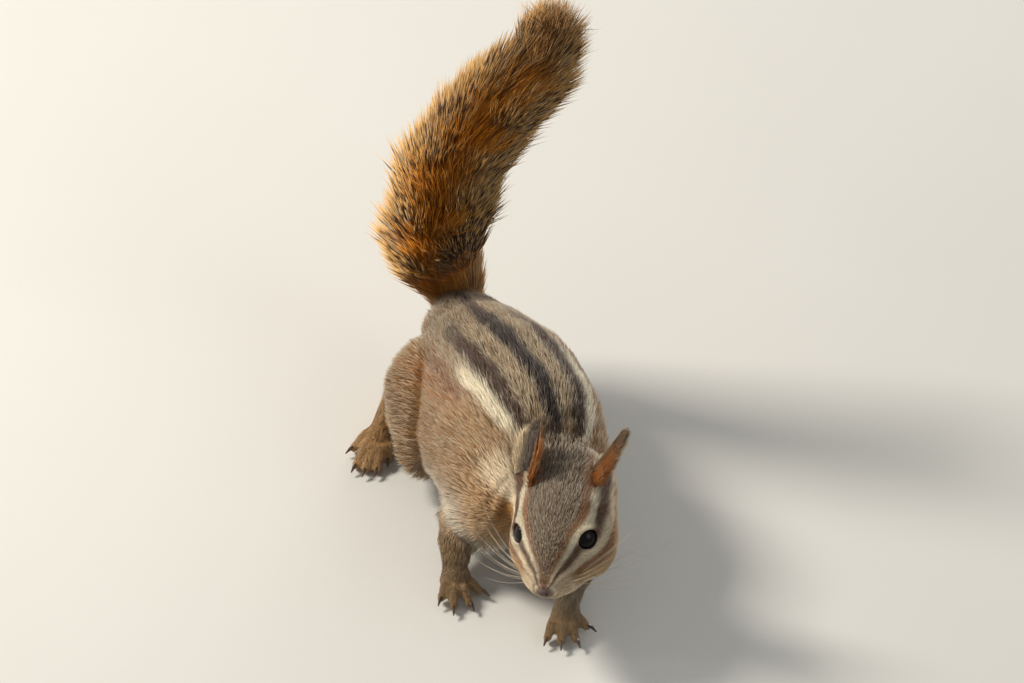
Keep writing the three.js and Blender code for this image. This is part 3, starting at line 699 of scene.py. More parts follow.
# %% [markdown]
# ## The tuft tree
# A coat is thousands of small tufts of the same form, so Geometry Nodes grow them: points
# are scattered over the skin, and each gets a thin three-sided tuft that is turned to the
# lie of the hair, rises from the root and then lies along the body. Particle hair would
# look alike here, but it is lost in the export, and these are real triangles. A tuft is
# open at its root, which lies in the skin.

# %% Build the tree
PATCH = 0.003  # across one tuft, of the whole map


def first(sockets, name=None):
    """The socket in use, where a node has one for each kind of value."""
    return next(s for s in sockets if s.enabled and (name is None or s.name == name))


def build_tuft_tree():
    """The node tree: a tuft, its roots on the skin, its turn and size, and its map."""
    tree = bpy.data.node_groups.new("tufts", "GeometryNodeTree")
    wanted = [
        ("Skin", "Geometry", None),
        ("Density", "Float", 1.0),
        ("Share", "String", "share"),
        ("Curl", "Float", 0.9),
        ("Scatter", "Float", 0.25),
        ("Clump", "Float", 0.3),
        ("Clump scale", "Float", 260.0),
        ("Shortest", "Float", 0.75),
        ("Seed", "Int", 1),
        ("Finish", "Material", None),
    ]
    for name, kind, value in wanted:
        socket = tree.interface.new_socket(name, in_out="INPUT", socket_type="NodeSocket" + kind)
        if value is not None:
            socket.default_value = value
    tree.interface.new_socket("Coat", in_out="OUTPUT", socket_type="NodeSocketGeometry")
    given = node(tree, "NodeGroupInput").outputs

    def calc(operation, a, b=0.0, c=0.0):
        return node(tree, "ShaderNodeMath", {0: a, 1: b, 2: c}, operation=operation).outputs[0]

    def vector(operation, a, b=None, scale=None):
        made = node(tree, "ShaderNodeVectorMath", {0: a}, operation=operation)
        for key, value in ((1, b), ("Scale", scale)):
            if isinstance(value, bpy.types.NodeSocket):
                tree.links.new(value, made.inputs[key])
            elif value is not None:
                made.inputs[key].default_value = value
        return made.outputs["Value" if operation == "DOT_PRODUCT" else "Vector"]

    def named(name, kind):
        made = node(tree, "GeometryNodeInputNamedAttribute", {"Name": name}, data_type=kind)
        return first(made.outputs)

    def stored(geometry, name, value, kind, domain="POINT"):
        inputs = {"Geometry": geometry, "Name": name}
        made = node(tree, "GeometryNodeStoreNamedAttribute", inputs, data_type=kind, domain=domain)
        tree.links.new(value, first(made.inputs, "Value"))
        return made.outputs["Geometry"]

    def chance(low, high, seed):
        inputs = {2: low, 3: high, "Seed": seed}
        return node(tree, "FunctionNodeRandomValue", inputs, data_type="FLOAT").outputs[1]

    # The tuft: a cone of three sides along z, laid along x, flattened and curved.
    cone = node(tree, "GeometryNodeMeshCone", {
        "Vertices": 3, "Side Segments": 2, "Radius Top": 0.0, "Radius Bottom": 0.5, "Depth": 1.0,
    }, fill_type="NONE")
    spot = node(tree, "GeometryNodeInputPosition").outputs[0]
    parts = node(tree, "ShaderNodeSeparateXYZ", {0: spot}).outputs
    local = node(tree, "ShaderNodeCombineXYZ", {"X": parts["Z"], "Y": parts["X"], "Z": 0.0}).outputs[0]
    tuft = stored(cone.outputs["Mesh"], "in_tuft", local, "FLOAT_VECTOR")
    along = parts["Z"]
    full = calc("MULTIPLY_ADD", along, 0.8, 1.0)
    wide = calc("MULTIPLY", parts["X"], full)
    high = calc("MULTIPLY", parts["Y"], calc("MULTIPLY", full, 0.12))
    steep = calc("ADD", given["Curl"], 1.0)
    rise = calc("MULTIPLY", along, calc("SUBTRACT", steep, calc("MULTIPLY", given["Curl"], along)))
    place = {"X": along, "Y": wide, "Z": calc("ADD", rise, high)}
    shape = node(tree, "ShaderNodeCombineXYZ", place).outputs[0]
    tuft = node(tree, "GeometryNodeSetPosition", {"Geometry": tuft, "Position": shape}).outputs[0]
    tuft = node(tree, "GeometryNodeSetShadeSmooth", {0: tuft}).outputs[0]

    # Roots, scattered over the skin.
    dense = calc("MULTIPLY", given["Density"], named(given["Share"], "FLOAT"))
    roots = node(tree, "GeometryNodeDistributePointsOnFaces", {
        "Mesh": given["Skin"], "Density": dense, "Seed": given["Seed"],
    }, distribute_method="RANDOM")
    points = stored(roots.outputs["Points"], "grain", chance(0.0, 1.0, given["Seed"]), "FLOAT")

    # Each tuft's direction: the lie, with some scatter and a slower wander that makes clumps.
    toss = node(tree, "FunctionNodeRandomValue", {
        0: (-1, -1, -1), 1: (1, 1, 1), "Seed": calc("ADD", given["Seed"], 7.0),
    }, data_type="FLOAT_VECTOR").outputs[0]
    noise = node(tree, "ShaderNodeTexNoise", {
        "Vector": spot, "Scale": given["Clump scale"], "Detail": 1.0})
    drift = vector("SUBTRACT", noise.outputs["Color"], (0.5, 0.5, 0.5))
    way = vector("ADD", named("lie", "FLOAT_VECTOR"), vector("SCALE", toss, scale=given["Scatter"]))
    way = vector("ADD", way, vector("SCALE", drift, scale=calc("MULTIPLY", given["Clump"], 4.0)))
    out = roots.outputs["Normal"]
    way = vector("SUBTRACT", way, vector("SCALE", out, scale=vector("DOT_PRODUCT", way, out)))
    turn = node(tree, "FunctionNodeAlignRotationToVector", {"Vector": way}, axis="X").outputs[0]
    turn = node(tree, "FunctionNodeAlignRotationToVector", {
        "Rotation": turn, "Vector": out}, axis="Z", pivot_axis="X").outputs[0]
    vary = chance(given["Shortest"], 1.12, calc("ADD", given["Seed"], 3.0))
    size = vector("SCALE", named("hair_size", "FLOAT_VECTOR"), scale=vary)
    grown = node(tree, "GeometryNodeInstanceOnPoints", {
        "Points": points, "Instance": tuft, "Rotation": turn, "Scale": size}).outputs[0]
    grown = node(tree, "GeometryNodeRealizeInstances", {0: grown}).outputs[0]
    patch = vector("SCALE", named("in_tuft", "FLOAT_VECTOR"), scale=PATCH)
    spread_out = vector("ADD", named("root_uv", "FLOAT_VECTOR"), patch)
    grown = stored(grown, "OFBake", spread_out, "FLOAT2", "CORNER")
    for name in ("root_uv", "lie", "hair_size"):
        grown = node(tree, "GeometryNodeRemoveAttribute", {"Geometry": grown, "Name": name}).outputs[0]
    inputs = {"Geometry": grown, "Material": given["Finish"]}
    node(tree, "NodeGroupOutput", {0: node(tree, "GeometryNodeSetMaterial", inputs).outputs[0]})
    return tree


tufts = build_tuft_tree()
print("tuft tree:", len(tufts.nodes), "nodes")

# %% [markdown]
# ## Fur and skin finishes
# A hair is darker at its root, its own colour along its length and paler at the tip. Wild
# coats are also grizzled: some hairs are nearly black and some nearly white. Both come
# from attributes that the tree leaves on each tuft, so nothing depends on the view.

# %% Finishes


def attribute(tree, name):
    """A material's reading of one of the mesh's attributes."""
    return node(tree, "ShaderNodeAttribute", attribute_name=name, attribute_type="GEOMETRY").outputs


def fur_finish(name, root_shade=0.5):
    """Hair: root, length and tip, a dark ring, and dark and pale hairs among the rest."""
    made, tree, shader = new_finish(name, 0.62, 0.28, Sheen_Weight=0.12, Sheen_Roughness=0.45)

    def ramped(value, low, high, start=0.0, end=1.0):
        ends = {"Value": value, "From Min": low, "From Max": high, "To Min": start, "To Max": end}
        return node(tree, "ShaderNodeMapRange", ends, interpolation_type="SMOOTHSTEP").outputs[0]

    def times(a, b):
        return node(tree, "ShaderNodeMath", {0: a, 1: b}, operation="MULTIPLY").outputs[0]

    def over(below, above, part):
        inputs = {"Fac": part, "Color1": below, "Color2": above}
        return node(tree, "ShaderNodeMixRGB", inputs).outputs[0]

    in_tuft = attribute(tree, "in_tuft")["Vector"]
    along = node(tree, "ShaderNodeSeparateXYZ", {0: in_tuft}).outputs["X"]
    grain = attribute(tree, "grain")["Fac"]
    grizzle = attribute(tree, "grizzle")["Fac"]
    at_tip = ramped(along, 0.45, 0.95)
    tint = over(attribute(tree, "colour")["Color"], attribute(tree, "tip_colour")["Color"], at_tip)
    dark_ring = times(ramped(along, 0.35, 0.5), ramped(along, 0.7, 0.86, 1.0, 0.0))
    tint = over(tint, colour(BLACK), times(dark_ring, attribute(tree, "banding")["Fac"]))
    tint = over(tint, colour(BLACK), times(ramped(grain, 0.74, 0.82), grizzle))
    pale_hairs = times(ramped(grain, 0.16, 0.11), grizzle)
    tint = over(tint, colour(CREAM), times(pale_hairs, ramped(along, 0.2, 0.7)))
    shade = times(ramped(along, 0.0, 0.55, root_shade, 1.0), ramped(grain, 0.0, 1.0, 0.74, 1.2))
    shaded = {"Saturation": 1.14, "Value": shade, "Color": tint}
    tint = node(tree, "ShaderNodeHueSaturation", shaded).outputs[0]
    tree.links.new(tint, shader.inputs["Base Color"])
    return made


def hide_finish(name, grain_size):
    """The skin under the fur: the coat's own colours, with fine felted relief."""
    made, tree, shader = new_finish(name, 0.75, 0.2)
    tint = attribute(tree, "colour")["Color"]
    noise = fine_noise(tree, grain_size, 6.0)
    value = node(tree, "ShaderNodeMapRange", {"Value": noise, "To Min": 0.62, "To Max": 1.0})
    shaded = {"Value": value.outputs[0], "Color": tint}
    tint = node(tree, "ShaderNodeHueSaturation", shaded).outputs[0]
    tree.links.new(tint, shader.inputs["Base Color"])
    raised(tree, shader, noise, 0.0002)
    return made


fur = fur_finish("fur")
tail_fur = fur_finish("tail_fur", 0.8)
hide = hide_finish("hide", 2600.0)
skin.data.materials.clear()
skin.data.materials.append(hide)
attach(skin, "root")
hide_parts(*FLESH)
print("finishes: fur, tail_fur, hide")

# %% [markdown]
# ## Growing the coat
# The coat is cut into pieces by region, as the exporter keeps each below 200,000
# triangles. Shares that add up to one let neighbouring pieces overlap without a seam.

# %% Coat of head, body and legs
TUFT_FACES = 6  # three quads, and three triangles at the tip
TUFT_TRIANGLES = 9
MOST_TUFTS = 21500  # in one piece
SHORT_HAIR = {"Scatter": 0.16, "Clump": 0.1, "Clump_scale": 420.0}
LONG_HAIR = {"Scatter": 0.2, "Clump": 0.2, "Clump_scale": 260.0}


def areas(mesh):
    """The area in square mm that belongs to each point."""
    corner = read_all(mesh.loops, "vertex_index", np.int32)
    totals = read_all(mesh.polygons, "loop_total", np.int32)
    size = read_all(mesh.polygons, "area")
    return np.bincount(corner, np.repeat(size / totals, totals), len(mesh.vertices)) / MM**2


def grow(name, base, share_name, count, finish, seed, slot, **sizes):
    """Runs the tuft tree over one share of a base and returns a plain mesh object."""
    change = base.modifiers.new("tufts", "NODES")
    change.node_group = tufts
    values = {"Density": count, "Share": share_name, "Seed": seed, "Finish": finish}
    values.update({key.replace("_", " "): value for key, value in sizes.items()})
    for item in tufts.interface.items_tree:
        if item.in_out == "INPUT" and item.name in values:
            change[item.identifier] = values[item.name]
    made = baked(base, name)
    base.modifiers.remove(change)
    made.data.materials.clear()
    made.data.materials.append(finish)
    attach(made, "root")
    triangles = len(made.data.polygons) // TUFT_FACES * TUFT_TRIANGLES
    print(name, triangles, "triangles, map:", [m.name for m in made.data.uv_layers])
    return made


owned = areas(skin.data)
thin_out = 1.0
head_share = share["head"]
front = 1 - step(12.5, 14.5, hy)
fore_body = 1 - step(-9, -6, y)
rear_body = step(12, 15, y)
PIECES = {
    "fur_face": (head_share * front, "coat_head", 11),
    "fur_nape": (head_share * (1 - front), "coat_head", 12),
    "fur_shoulders": (share["body"] * fore_body, "coat_flank", 13),
    "fur_back": (share["body"] * (1 - fore_body) * (1 - rear_body), "coat_back", 14),
    "fur_rump": (share["body"] * rear_body, "coat_flank", 15),
    "fur_forelegs": (fore, "paw", 16),
    "fur_hind_legs": (hind, "coat_flank", 17),
}
for name, (part, slot, seed) in PIECES.items():
    wanted = part * close * ~bare
    expected = float((wanted * owned).sum())
    wanted *= min(1.0, MOST_TUFTS / expected)
    keep(skin.data, "share_" + name, wanted)
    print(name, "expects", round(expected), "tufts")
for name, (part, slot, seed) in PIECES.items():
    lay = SHORT_HAIR if name in ("fur_face", "fur_forelegs") else LONG_HAIR
    grow(name, skin, "share_" + name, thin_out / MM**2, fur, seed, slot, **lay)

# %% [markdown]
# ## The tail
# The real tail is a thin stalk in a flat brush of long hair that leans towards the tip. Its
# stalk follows the same line of points as the solid, a smooth curve through them, and the
# hair grows out of it by the tuft tree, longer and standing further off than on the body.

# %% The stalk
TAIL_LINE = np.array([
    (1.5, 33, 20.5), (1.6, 38.4, 23), (-0.3, 41.6, 28), (-1.8, 42.9, 34),
    (-2.1, 43.3, 41.5), (-1.9, 43.7, 49), (-0.1, 43.8, 56.5), (3, 44.2, 63.5),
    (6.4, 44.1, 69.5), (10.8, 44, 75.5), (14.4, 44.8, 82), (16.2, 45.2, 86)])
CORE = np.array([5.2, 4.0])  # half width and half depth of the stalk, mm
BRUSH = np.array([13.0, 9.6])  # the same of the whole brush
RINGS = 150
ROUND = 40


def smooth_line(line, count):
    """Evenly spaced points on a centripetal curve through a line of points."""
    ends = np.concatenate([[2 * line[0] - line[1]], line, [2 * line[-1] - line[-2]]])
    dense = []
    for p0, p1, p2, p3 in zip(ends[:-3], ends[1:-2], ends[2:-1], ends[3:]):
        t1 = np.linalg.norm(p1 - p0) ** 0.5
        t2 = t1 + np.linalg.norm(p2 - p1) ** 0.5
        t3 = t2 + np.linalg.norm(p3 - p2) ** 0.5
        t = np.linspace(t1, t2, 30, endpoint=False)[:, None]
        a1 = (t1 - t) / t1 * p0 + t / t1 * p1
        a2 = (t2 - t) / (t2 - t1) * p1 + (t - t1) / (t2 - t1) * p2
        a3 = (t3 - t) / (t3 - t2) * p2 + (t - t2) / (t3 - t2) * p3
        b1 = (t2 - t) / t2 * a1 + t / t2 * a2
        b2 = (t3 - t) / (t3 - t1) * a2 + (t - t1) / (t3 - t1) * a3
        dense.append((t2 - t) / (t2 - t1) * b1 + (t - t1) / (t2 - t1) * b2)
    dense = np.concatenate(dense + [line[-1:]])
    run = np.concatenate([[0], np.cumsum(np.linalg.norm(np.diff(dense, axis=0), axis=1))])
    even = np.linspace(0, run[-1], count)
    return np.stack([np.interp(even, run, dense[:, k]) for k in range(3)], 1), run[-1]


stem, tail_length = smooth_line(TAIL_LINE, RINGS)
ahead = unit(np.gradient(stem, axis=0))
sideways = unit(np.cross([0, -1, 0.25], ahead))
over_side = unit(np.cross(ahead, sideways))
t = np.linspace(0, 1, RINGS)
tip_fade = np.sqrt(np.maximum(1 - (np.maximum(t - 0.75, 0) / 0.4) ** 2, 0.05))
fullness = np.minimum(0.62 + 1.6 * t, 1) * tip_fade
core_size = fullness * (1 - 0.35 * t)
angle = np.arange(ROUND) / ROUND * 2 * math.pi


def ring(i):
    """One ring of points round the stalk."""
    half_width, half_depth = CORE * core_size[i]
    across = half_width * np.outer(np.cos(angle), sideways[i])
    return stem[i] + across + half_depth * np.outer(np.sin(angle), over_side[i])


def quads(rings, across, closed=False):
    """The faces between rings of points; closed joins the last ring to the first."""
    faces = []
    for i in range(rings if closed else rings - 1):
        here, there = i * across, (i + 1) % rings * across
        for j in range(across):
            k = (j + 1) % across
            faces.append((here + j, here + k, there + k, there + j))
    return faces


def cap(start, across, centre, turned=False):
    """Triangles from a ring of points, by its first one, to a point beyond it."""
    pairs = [(start + j, start + (j + 1) % across) for j in range(across)]
    return [(b, a, centre) if turned else (a, b, centre) for a, b in pairs]


tail_ends = [stem[-1:] + ahead[-1:] * 2.0, stem[:1]]
tail_points = np.concatenate([ring(i) for i in range(RINGS)] + tail_ends)
top = RINGS * ROUND
tail_faces = quads(RINGS, ROUND) + cap(top - ROUND, ROUND, top) + cap(0, ROUND, top + 1, True)
tail_skin = make_object("tail_skin", tail_points, tail_faces)
print("tail length, mm:", round(tail_length, 1))

# %% [markdown]
# Along the brush the middle is rust with dark flecks. Towards the edges each hair has a
# black ring and ends buff, and so the tail is drawn in rust, black and pale from the middle
# out. The colours are again attributes of the stalk.

# %% Colours and hair of the tail
BAND_TURN = math.radians(61)  # round the stalk to the middle of the rust band
TAIL_CLOSE = 20.5  # tufts per square mm
TAIL_TUFTS = 20500  # at most in each half
ring_t = np.concatenate([np.repeat(t, ROUND), [1, 0]])
ring_angle = np.concatenate([np.tile(angle, RINGS), [0, 0]])
ring_full = np.concatenate([np.repeat(fullness, ROUND), [fullness[-1], fullness[0]]])
off_band = np.abs(np.sin(ring_angle - BAND_TURN)) + 0.1 * wander(tail_points, 6, 30)
edge_on = step(0.25, 0.78, off_band)
tail_rust = paint(222, 142, 68)
tail_buff = paint(226, 186, 132)
base_tint = mix(tail_rust, mix(RUMP, RUST, 0.2), 1 - step(0.02, 0.22, ring_t))
base_tint = mix(base_tint, paint(120, 78, 46), 0.35 * step(0.1, 0.8, wander(tail_points, 8, 21)))
base_tint = mix(base_tint, DARK, 0.75 * step(0.72, 0.9, ring_t) * (1 - edge_on))
tip_tint = mix(base_tint, tail_buff, 0.15 + 0.85 * edge_on)
keep(tail_skin.data, "colour", base_tint, "FLOAT_COLOR")
keep(tail_skin.data, "tip_colour", tip_tint, "FLOAT_COLOR")
keep(tail_skin.data, "grizzle", 0.12 + 0.2 * edge_on)
keep(tail_skin.data, "banding", (0.22 + 0.7 * edge_on) * step(0.05, 0.2, ring_t))
ahead_all = np.concatenate([np.repeat(ahead, ROUND, axis=0), ahead[-1:], ahead[:1]])
keep(tail_skin.data, "lie", ahead_all, "FLOAT_VECTOR")
past_core = BRUSH - CORE
reach = np.hypot(past_core[0] * np.cos(ring_angle), past_core[1] * np.sin(ring_angle)) * ring_full
reach = reach * np.interp(ring_t, [0, 0.15, 0.5, 0.75, 1], [0.35, 1, 0.97, 0.78, 0.5])
tail_hair = np.interp(ring_t, [0, 0.12, 0.3, 0.8, 1], [6, 10, 13.0, 12.5, 10])
keep_sizes(tail_skin.data, tail_hair, 0.24, reach)
lay_flat(tail_skin.data, (ring_t > 0.5).astype(int), 4)
tail_area = areas(tail_skin.data)
lower = 1 - step(0.47, 0.53, ring_t)
for k, part in enumerate((lower, 1 - lower)):
    wanted = part * TAIL_CLOSE
    wanted = wanted * min(1.0, TAIL_TUFTS / float((wanted * tail_area).sum()))
    keep(tail_skin.data, f"share_{k}", wanted)
tail_skin.data.materials.append(hide)
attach(tail_skin, "root")
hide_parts("tail")
for k, name in enumerate(("fur_tail_lower", "fur_tail_upper")):
    grow(name, tail_skin, f"share_{k}", thin_out / MM**2, tail_fur, 31 + k, "coat_tail",
         Curl=0.35, Scatter=0.34, Clump=0.42, Clump_scale=190.0, Shortest=0.42)

# %% [markdown]
# ## Ears
# Each ear is a thin upright cup. The solid has its form, so a fine remesh of it gets short
# fur of its own: rust on the front base and rim, grey inside and pale along the rear edge.

# %% Ears
# Each ear's root, the way it stands and the way it opens, in the head's frame.
EARS = {
    "right": ((-7.5, 23.4, 9.4), (0.16, 0.5, 0.84), (-0.76, -0.62, 0.2)),
    "left": ((6.2, 25.8, 9.6), (0.63, 0.2, 0.75), (0.76, -0.2, -0.6)),
}
for side, (root, up, opening) in EARS.items():
    ear = remeshed("ear_skin_" + side, ["ear_" + side], 0.0, 0.2)
    spots = relax(ear.data, animal(points_of(ear.data)), 0.5, 3)
    move_points(ear.data, spots)
    up = unit(up) @ HEAD_TURN.T
    opening = unit(opening) @ HEAD_TURN.T
    forward = unit(np.cross(up, opening)) * (-1 if side == "right" else 1)
    if (forward @ HEAD_TURN)[1] > 0:
        forward = -forward
    base = from_head(root)
    high = (spots - base) @ up
    ahead_of = (spots - base) @ forward
    looks = normals_of(ear.data) @ opening
    inside = step(-0.1, 0.4, looks)
    outside_tint = mix(CROWN, GREY_LIGHT, 0.5)
    outside_tint = mix(outside_tint, paint(226, 204, 170), step(2.2, 3.6, -ahead_of))
    low_ear = 1 - step(6.0, 12.0, high)
    outside_tint = mix(outside_tint, RUST, (0.25 + 0.75 * low_ear) * step(0.2, 2.2, ahead_of))
    inside_tint = mix(paint(92, 76, 66), RUST, (0.3 + 0.7 * low_ear) * step(1.4, 3.0, ahead_of))
    inside_tint = mix(inside_tint, paint(230, 208, 172), step(1.6, 3.6, -ahead_of))
    tints = mix(outside_tint, inside_tint, inside)
    keep(ear.data, "colour", tints, "FLOAT_COLOR")
    keep(ear.data, "tip_colour", mix(tints, CREAM, 0.2), "FLOAT_COLOR")
    keep(ear.data, "lie", unit(up + 0.35 * np.sign(ahead_of)[:, None] * forward), "FLOAT_VECTOR")
    rim = np.clip(np.abs(ahead_of) / 3.8, 0, 1) ** 3
    hair = np.where(inside > 0.5, 1.1, 1.5) + 1.2 * (1 - step(6.8, 9.0, high)) + 0.5 * rim
    keep_sizes(ear.data, hair, 0.13, 0.42 + 0.4 * rim)
    keep(ear.data, "grizzle", np.full(len(spots), 0.25))
    keep(ear.data, "banding", np.zeros(len(spots)))
    lay_flat(ear.data, np.zeros(len(spots), int), 3)
    keep(ear.data, "share_ear", np.where(inside > 0.5, 12.0, 24.0))
    ear.data.materials.clear()
    ear.data.materials.append(hide)
    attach(ear, "root")
    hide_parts("ear_" + side)
    grow("fur_ear_" + side, ear, "share_ear", thin_out / MM**2, fur, 41, "ear",
         Scatter=0.2, Clump=0.1, Clump_scale=500.0)
    print("ear", side, len(ear.data.polygons), "faces, high to", round(float(high.max()), 1), "mm")

# %% [markdown]
# ## Eyes and lids
# A chipmunk's eye is a dark, wet bead. It is a smooth ball of its own with a hard gloss, and
# a dark lid margin and a pale fold of skin are drawn round it, each a closed tube that
# lies on the ball as the real lids do.

# %% Ball, lid margin and lid fold


def tube(path, radii, sides=10, closed=False):
    """Points and faces of a tube along a path; an open one gets its two caps."""
    path = np.asarray(path, float)
    radii = np.broadcast_to(np.asarray(radii, float), len(path))
    if closed:
        ahead = unit(np.roll(path, -1, 0) - np.roll(path, 1, 0))
    else:
        ahead = unit(np.gradient(path, axis=0))
    across = unit(np.cross(ahead, [0.31, 0.17, 0.93]))
    up = np.cross(ahead, across)
    turn = np.arange(sides) / sides * 2 * math.pi
    cos, sin = np.cos(turn)[None, :, None], np.sin(turn)[None, :, None]
    rings = path[:, None] + radii[:, None, None] * (cos * across[:, None] + sin * up[:, None])
    count = len(path)
    faces = quads(count, sides, closed)
    if not closed:
        faces += [tuple(range(sides))[::-1], tuple(range((count - 1) * sides, count * sides))]
    return rings.reshape(-1, 3), faces


def facing_out(obj):
    """Turns every face of a closed piece outwards."""
    work = bmesh.new()
    work.from_mesh(obj.data)
    bmesh.ops.recalc_face_normals(work, faces=work.faces)
    work.to_mesh(obj.data)
    work.free()


def joined(name, pieces):
    """Several closed forms as one mesh object."""
    points, faces, count = [], [], 0
    for p, f in pieces:
        points.append(p)
        faces += [tuple(i + count for i in face) for face in f]
        count += len(p)
    made = make_object(name, np.concatenate(points), faces)
    facing_out(made)
    return made


def ball(centre, radii, rows=32, columns=48):
    """An ellipsoid's points and faces round a centre, in the same frame as the centre."""
    up = np.linspace(0, math.pi, rows + 1)[1:-1]
    turn = np.arange(columns) / columns * 2 * math.pi
    places = [
        (math.sin(u) * math.cos(a), math.sin(u) * math.sin(a), math.cos(u))
        for u in up for a in turn]
    places = np.array(places + [(0, 0, 1), (0, 0, -1)])
    top = (rows - 1) * columns
    faces = quads(rows - 1, columns)
    faces += cap(0, columns, top, True) + cap(top - columns, columns, top + 1)
    return np.array(centre) + places * radii, faces


eye_finish, tree, shader = new_finish("wet_eye", 0.05, 0.16)
wet = two_tones(tree, fine_noise(tree, 900.0, 3.0), paint(8, 6, 5), paint(22, 13, 10))
tree.links.new(wet, shader.inputs["Base Color"])


def soft_finish(name, dark, light, scale, roughness=0.5, height=0.0001):
    """Bare skin, horn or lid: two tones of one colour and a fine grain."""
    made, tree, shader = new_finish(name, roughness, 0.4)
    noise = fine_noise(tree, scale, 5.0)
    tree.links.new(two_tones(tree, noise, dark, light, 0.3, 0.7), shader.inputs["Base Color"])
    raised(tree, shader, noise, height)
    return made


# Dark lid margin; the same dark finish also paints the shade inside the nostrils and the mouth's
# crease.
dark_lid_and_hollow_shade = soft_finish("lid_margin", paint(40, 26, 20), paint(66, 44, 34), 1800.0, 0.4)
lid_pale = soft_finish("lid_fold", paint(196, 168, 130), paint(228, 206, 170), 1500.0, 0.6)
EYE_RADIUS = 3.3  # mm, as are the lids' half width, half height, distance out and thickness
LIDS = [
    ("lid_margin_", dark_lid_and_hollow_shade, 2.75, 2.08, 3.36, 0.2),
    ("lid_fold_", lid_pale, 3.0, 2.36, 3.5, 0.27),
]
for side, sign in (("right", -1), ("left", 1)):
    centre = EYE * (sign, 1, 1)
    p, f = ball((0, 0, 0), EYE_RADIUS)
    eye = joined("eye_ball_" + side, [(from_head(p + centre), f)])
    eye.data.materials.append(eye_finish)
    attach(eye, "root")
    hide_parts("eye_" + side)
    out = unit((0.72 * sign, -0.48, 0.5))
    wide = unit(np.cross((0, 0, 1), out))
    tall = np.cross(out, wide)
    a = np.linspace(0, 2 * math.pi, 72, endpoint=False)
    for name, finish, half_wide, half_tall, radius, thick_tube in LIDS:
        u, v = half_wide * np.cos(a), half_tall * np.sin(a)
        v = v * (1 + 0.06 * np.cos(a) * sign)
        deep = np.sqrt(np.maximum(radius**2 - u**2 - v**2, 0.05))
        path = centre + u[:, None] * wide + v[:, None] * tall + deep[:, None] * out
        uneven = thick_tube * (1 + 0.15 * np.sin(3 * a + 1))
        lid = joined(name + side, [tube(from_head(path), uneven, 12, closed=True)])
        lid.data.materials.append(finish)
        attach(lid, "root")
print("eyes and lids: 2 balls, 4 rings")

# %% [markdown]
# ## Nose, mouth and whiskers
# The nose is bare, dark leather with two comma nostrils and a groove below; the nostrils are
# dark tubes, painted shade of their openings. The mouth is a fine dark tube along the lip,
# painted shade of its crease. Whiskers stand in rows on the pads beside the nose: each
# is a tapered tube that bends back, pale and a little glossy.

# %% Nose leather, mouth line and whiskers
leather = soft_finish("nose_leather", paint(58, 42, 40), paint(108, 82, 76), 2600.0, 0.42, 0.00012)
p, f = ball((0, 1.0, -0.02), np.array([1.32, 1.22, 1.12]), 40, 56)
for x in (-0.85, 0.85):
    gap = np.linalg.norm((p - (0.85 * x, -0.1, 0.0)) / (0.42, 1.0, 0.3), axis=1)
    p[:, 1] += 0.5 * np.exp(-(gap**2) * 1.6)
p[:, 1] += 0.25 * np.exp(-((p[:, 0] / 0.16) ** 2)) * (p[:, 2] < 0.1) * (p[:, 1] < 1.5)
nose = joined("nose_leather", [(from_head(p), f)])
nose.data.materials.append(leather)
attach(nose, "root")

hide_tree = BVHTree.FromObject(skin, bpy.context.evaluated_depsgraph_get())


def on_skin(point_in_head, centre_in_head, lift=0.0):
    """The skin's point beyond a point in the head, seen from inside, in the animal's frame."""
    inside_at = from_head(centre_in_head)
    way = unit(from_head(point_in_head) - inside_at)
    outer = inside_at + way * 25
    hit = hide_tree.ray_cast(Vector(metres(outer)), Vector(-way))[0]
    return animal(np.array(hit)) + way * lift if hit is not None else from_head(point_in_head)


# Nostrils: dark tubes in the leather's dents, painted shade of the openings.
nostrils = []
for x in (-1, 1):
    s = np.linspace(0, 1, 9)
    path = np.stack([x * (0.5 + 0.5 * s), 0.02 + 0.6 * s**1.5, -0.12 + 0.3 * np.sin(s * 2.4)], 1)
    nostrils.append(tube(from_head(path), 0.17 * np.sin(np.pi * (0.15 + 0.75 * s)), 10))
nostril = joined("nostrils", nostrils)
nostril.data.materials.append(dark_lid_and_hollow_shade)
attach(nostril, "root")

# Mouth: a dark tube along the lip, painted shade of the crease.
lip_run = np.linspace(-1, 1, 33)
mouth_path = []
for s in lip_run:
    back = 2.6 + 6.2 * abs(s)
    mouth_path.append(on_skin((4.6 * s, back, -2.9 - 0.8 * abs(s)), (0, back, -0.2), -0.02))
mouth = joined("mouth_line", [tube(mouth_path, 0.16 * (1 - 0.5 * np.abs(lip_run)), 8)])
mouth.data.materials.append(dark_lid_and_hollow_shade)
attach(mouth, "root")

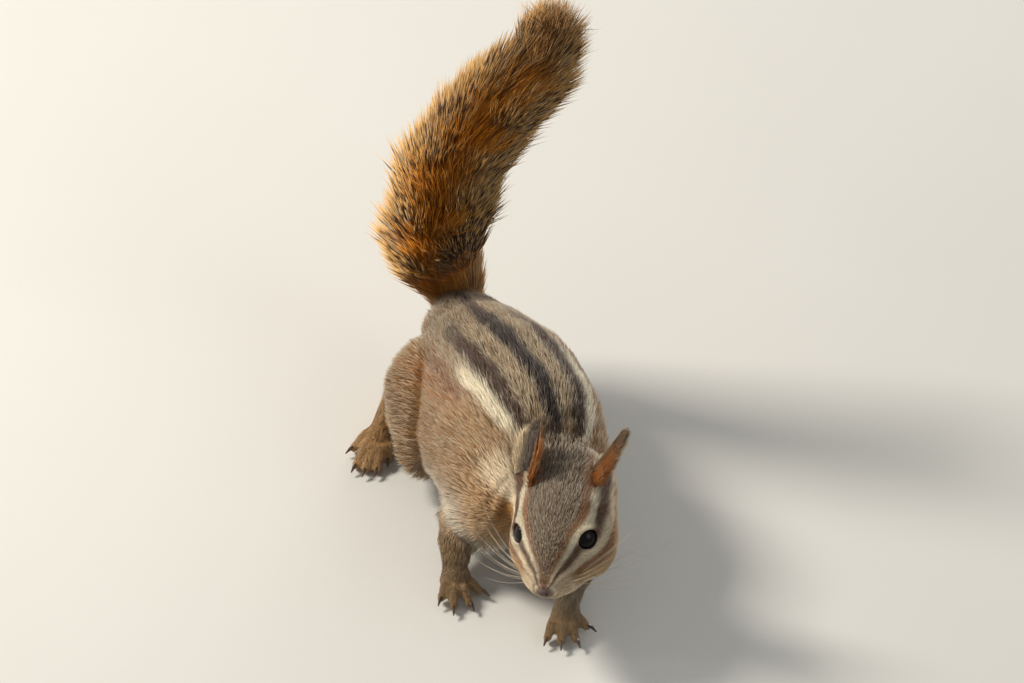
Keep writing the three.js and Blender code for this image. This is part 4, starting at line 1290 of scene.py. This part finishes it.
whisker_finish = soft_finish("whisker", paint(150, 134, 112), paint(206, 194, 172), 400.0, 0.35)
rng = np.random.default_rng(5)
for side, sign in (("right", -1), ("left", 1)):
    hairs = []
    for row in range(3):
        for column in range(4):
            back = 4.2 + 1.15 * column
            pad = (sign * 3.6, back + 0.3 * row, -0.2 - 0.85 * row)
            start = on_skin(pad, (0, back, -0.6), -0.2)
            reach = rng.uniform(11, 17) * (0.8 + 0.1 * column)
            outward = sign * rng.uniform(0.85, 1.0)
            backward = -0.05 + 0.2 * column + rng.uniform(-0.08, 0.08)
            upward = 0.42 - 0.3 * row + rng.uniform(-0.1, 0.1)
            way = unit((outward, backward, upward))
            bend = np.array([0, 0.42, -0.12])
            s = np.linspace(0, 1, 12)[:, None]
            path = start + ((way * s + bend * s**2) * reach) @ HEAD_TURN.T
            hairs.append(tube(path, 0.06 * (1 - 0.85 * s[:, 0]), 5))
    for k in range(2):
        start = on_skin((sign * 4.0, 11.0 + k, 9.0), (sign * 3.0, 11.0 + k, 3.0), -0.1)
        way = np.array([sign * 0.35, 0.5 + 0.2 * k, 0.8])
        bend = np.array([0, 0.5, -0.2])
        s = np.linspace(0, 1, 10)[:, None]
        path = start + ((way * s + bend * s**2) * 7.0) @ HEAD_TURN.T
        hairs.append(tube(path, 0.045 * (1 - 0.85 * s[:, 0]), 5))
    whiskers = joined("whiskers_" + side, hairs)
    whiskers.data.materials.append(whisker_finish)
    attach(whiskers, "root")
    print("whiskers and brow hairs,", side + ":", len(hairs))

# %% [markdown]
# The claws are the solids themselves: small curved cones whose shape is right, so they
# only get a finish of dark horn, a little glossy.

# %% Claws
horn = soft_finish("claw_horn", paint(48, 36, 30), paint(96, 76, 60), 700.0, 0.35)
claws = [name for name in frame["nodes"] if "_claw_" in name]
for name in claws:
    obj = frame["nodes"][name]
    obj.data.materials.clear()
    obj.data.materials.append(horn)
print("claws:", len(claws))

# %% [markdown]
# The attributes that only the tuft tree needed come off the skins.

# %% Attributes off the skins
FOR_TUFTS = ("root_uv", "lie", "hair_size", "tip_colour", "grizzle", "banding")
for base in [skin, tail_skin] + [bpy.data.objects["ear_skin_" + side] for side in EARS]:
    for name in [a.name for a in base.data.attributes]:
        if name.startswith("share_") or name in FOR_TUFTS:
            base.data.attributes.remove(base.data.attributes[name])
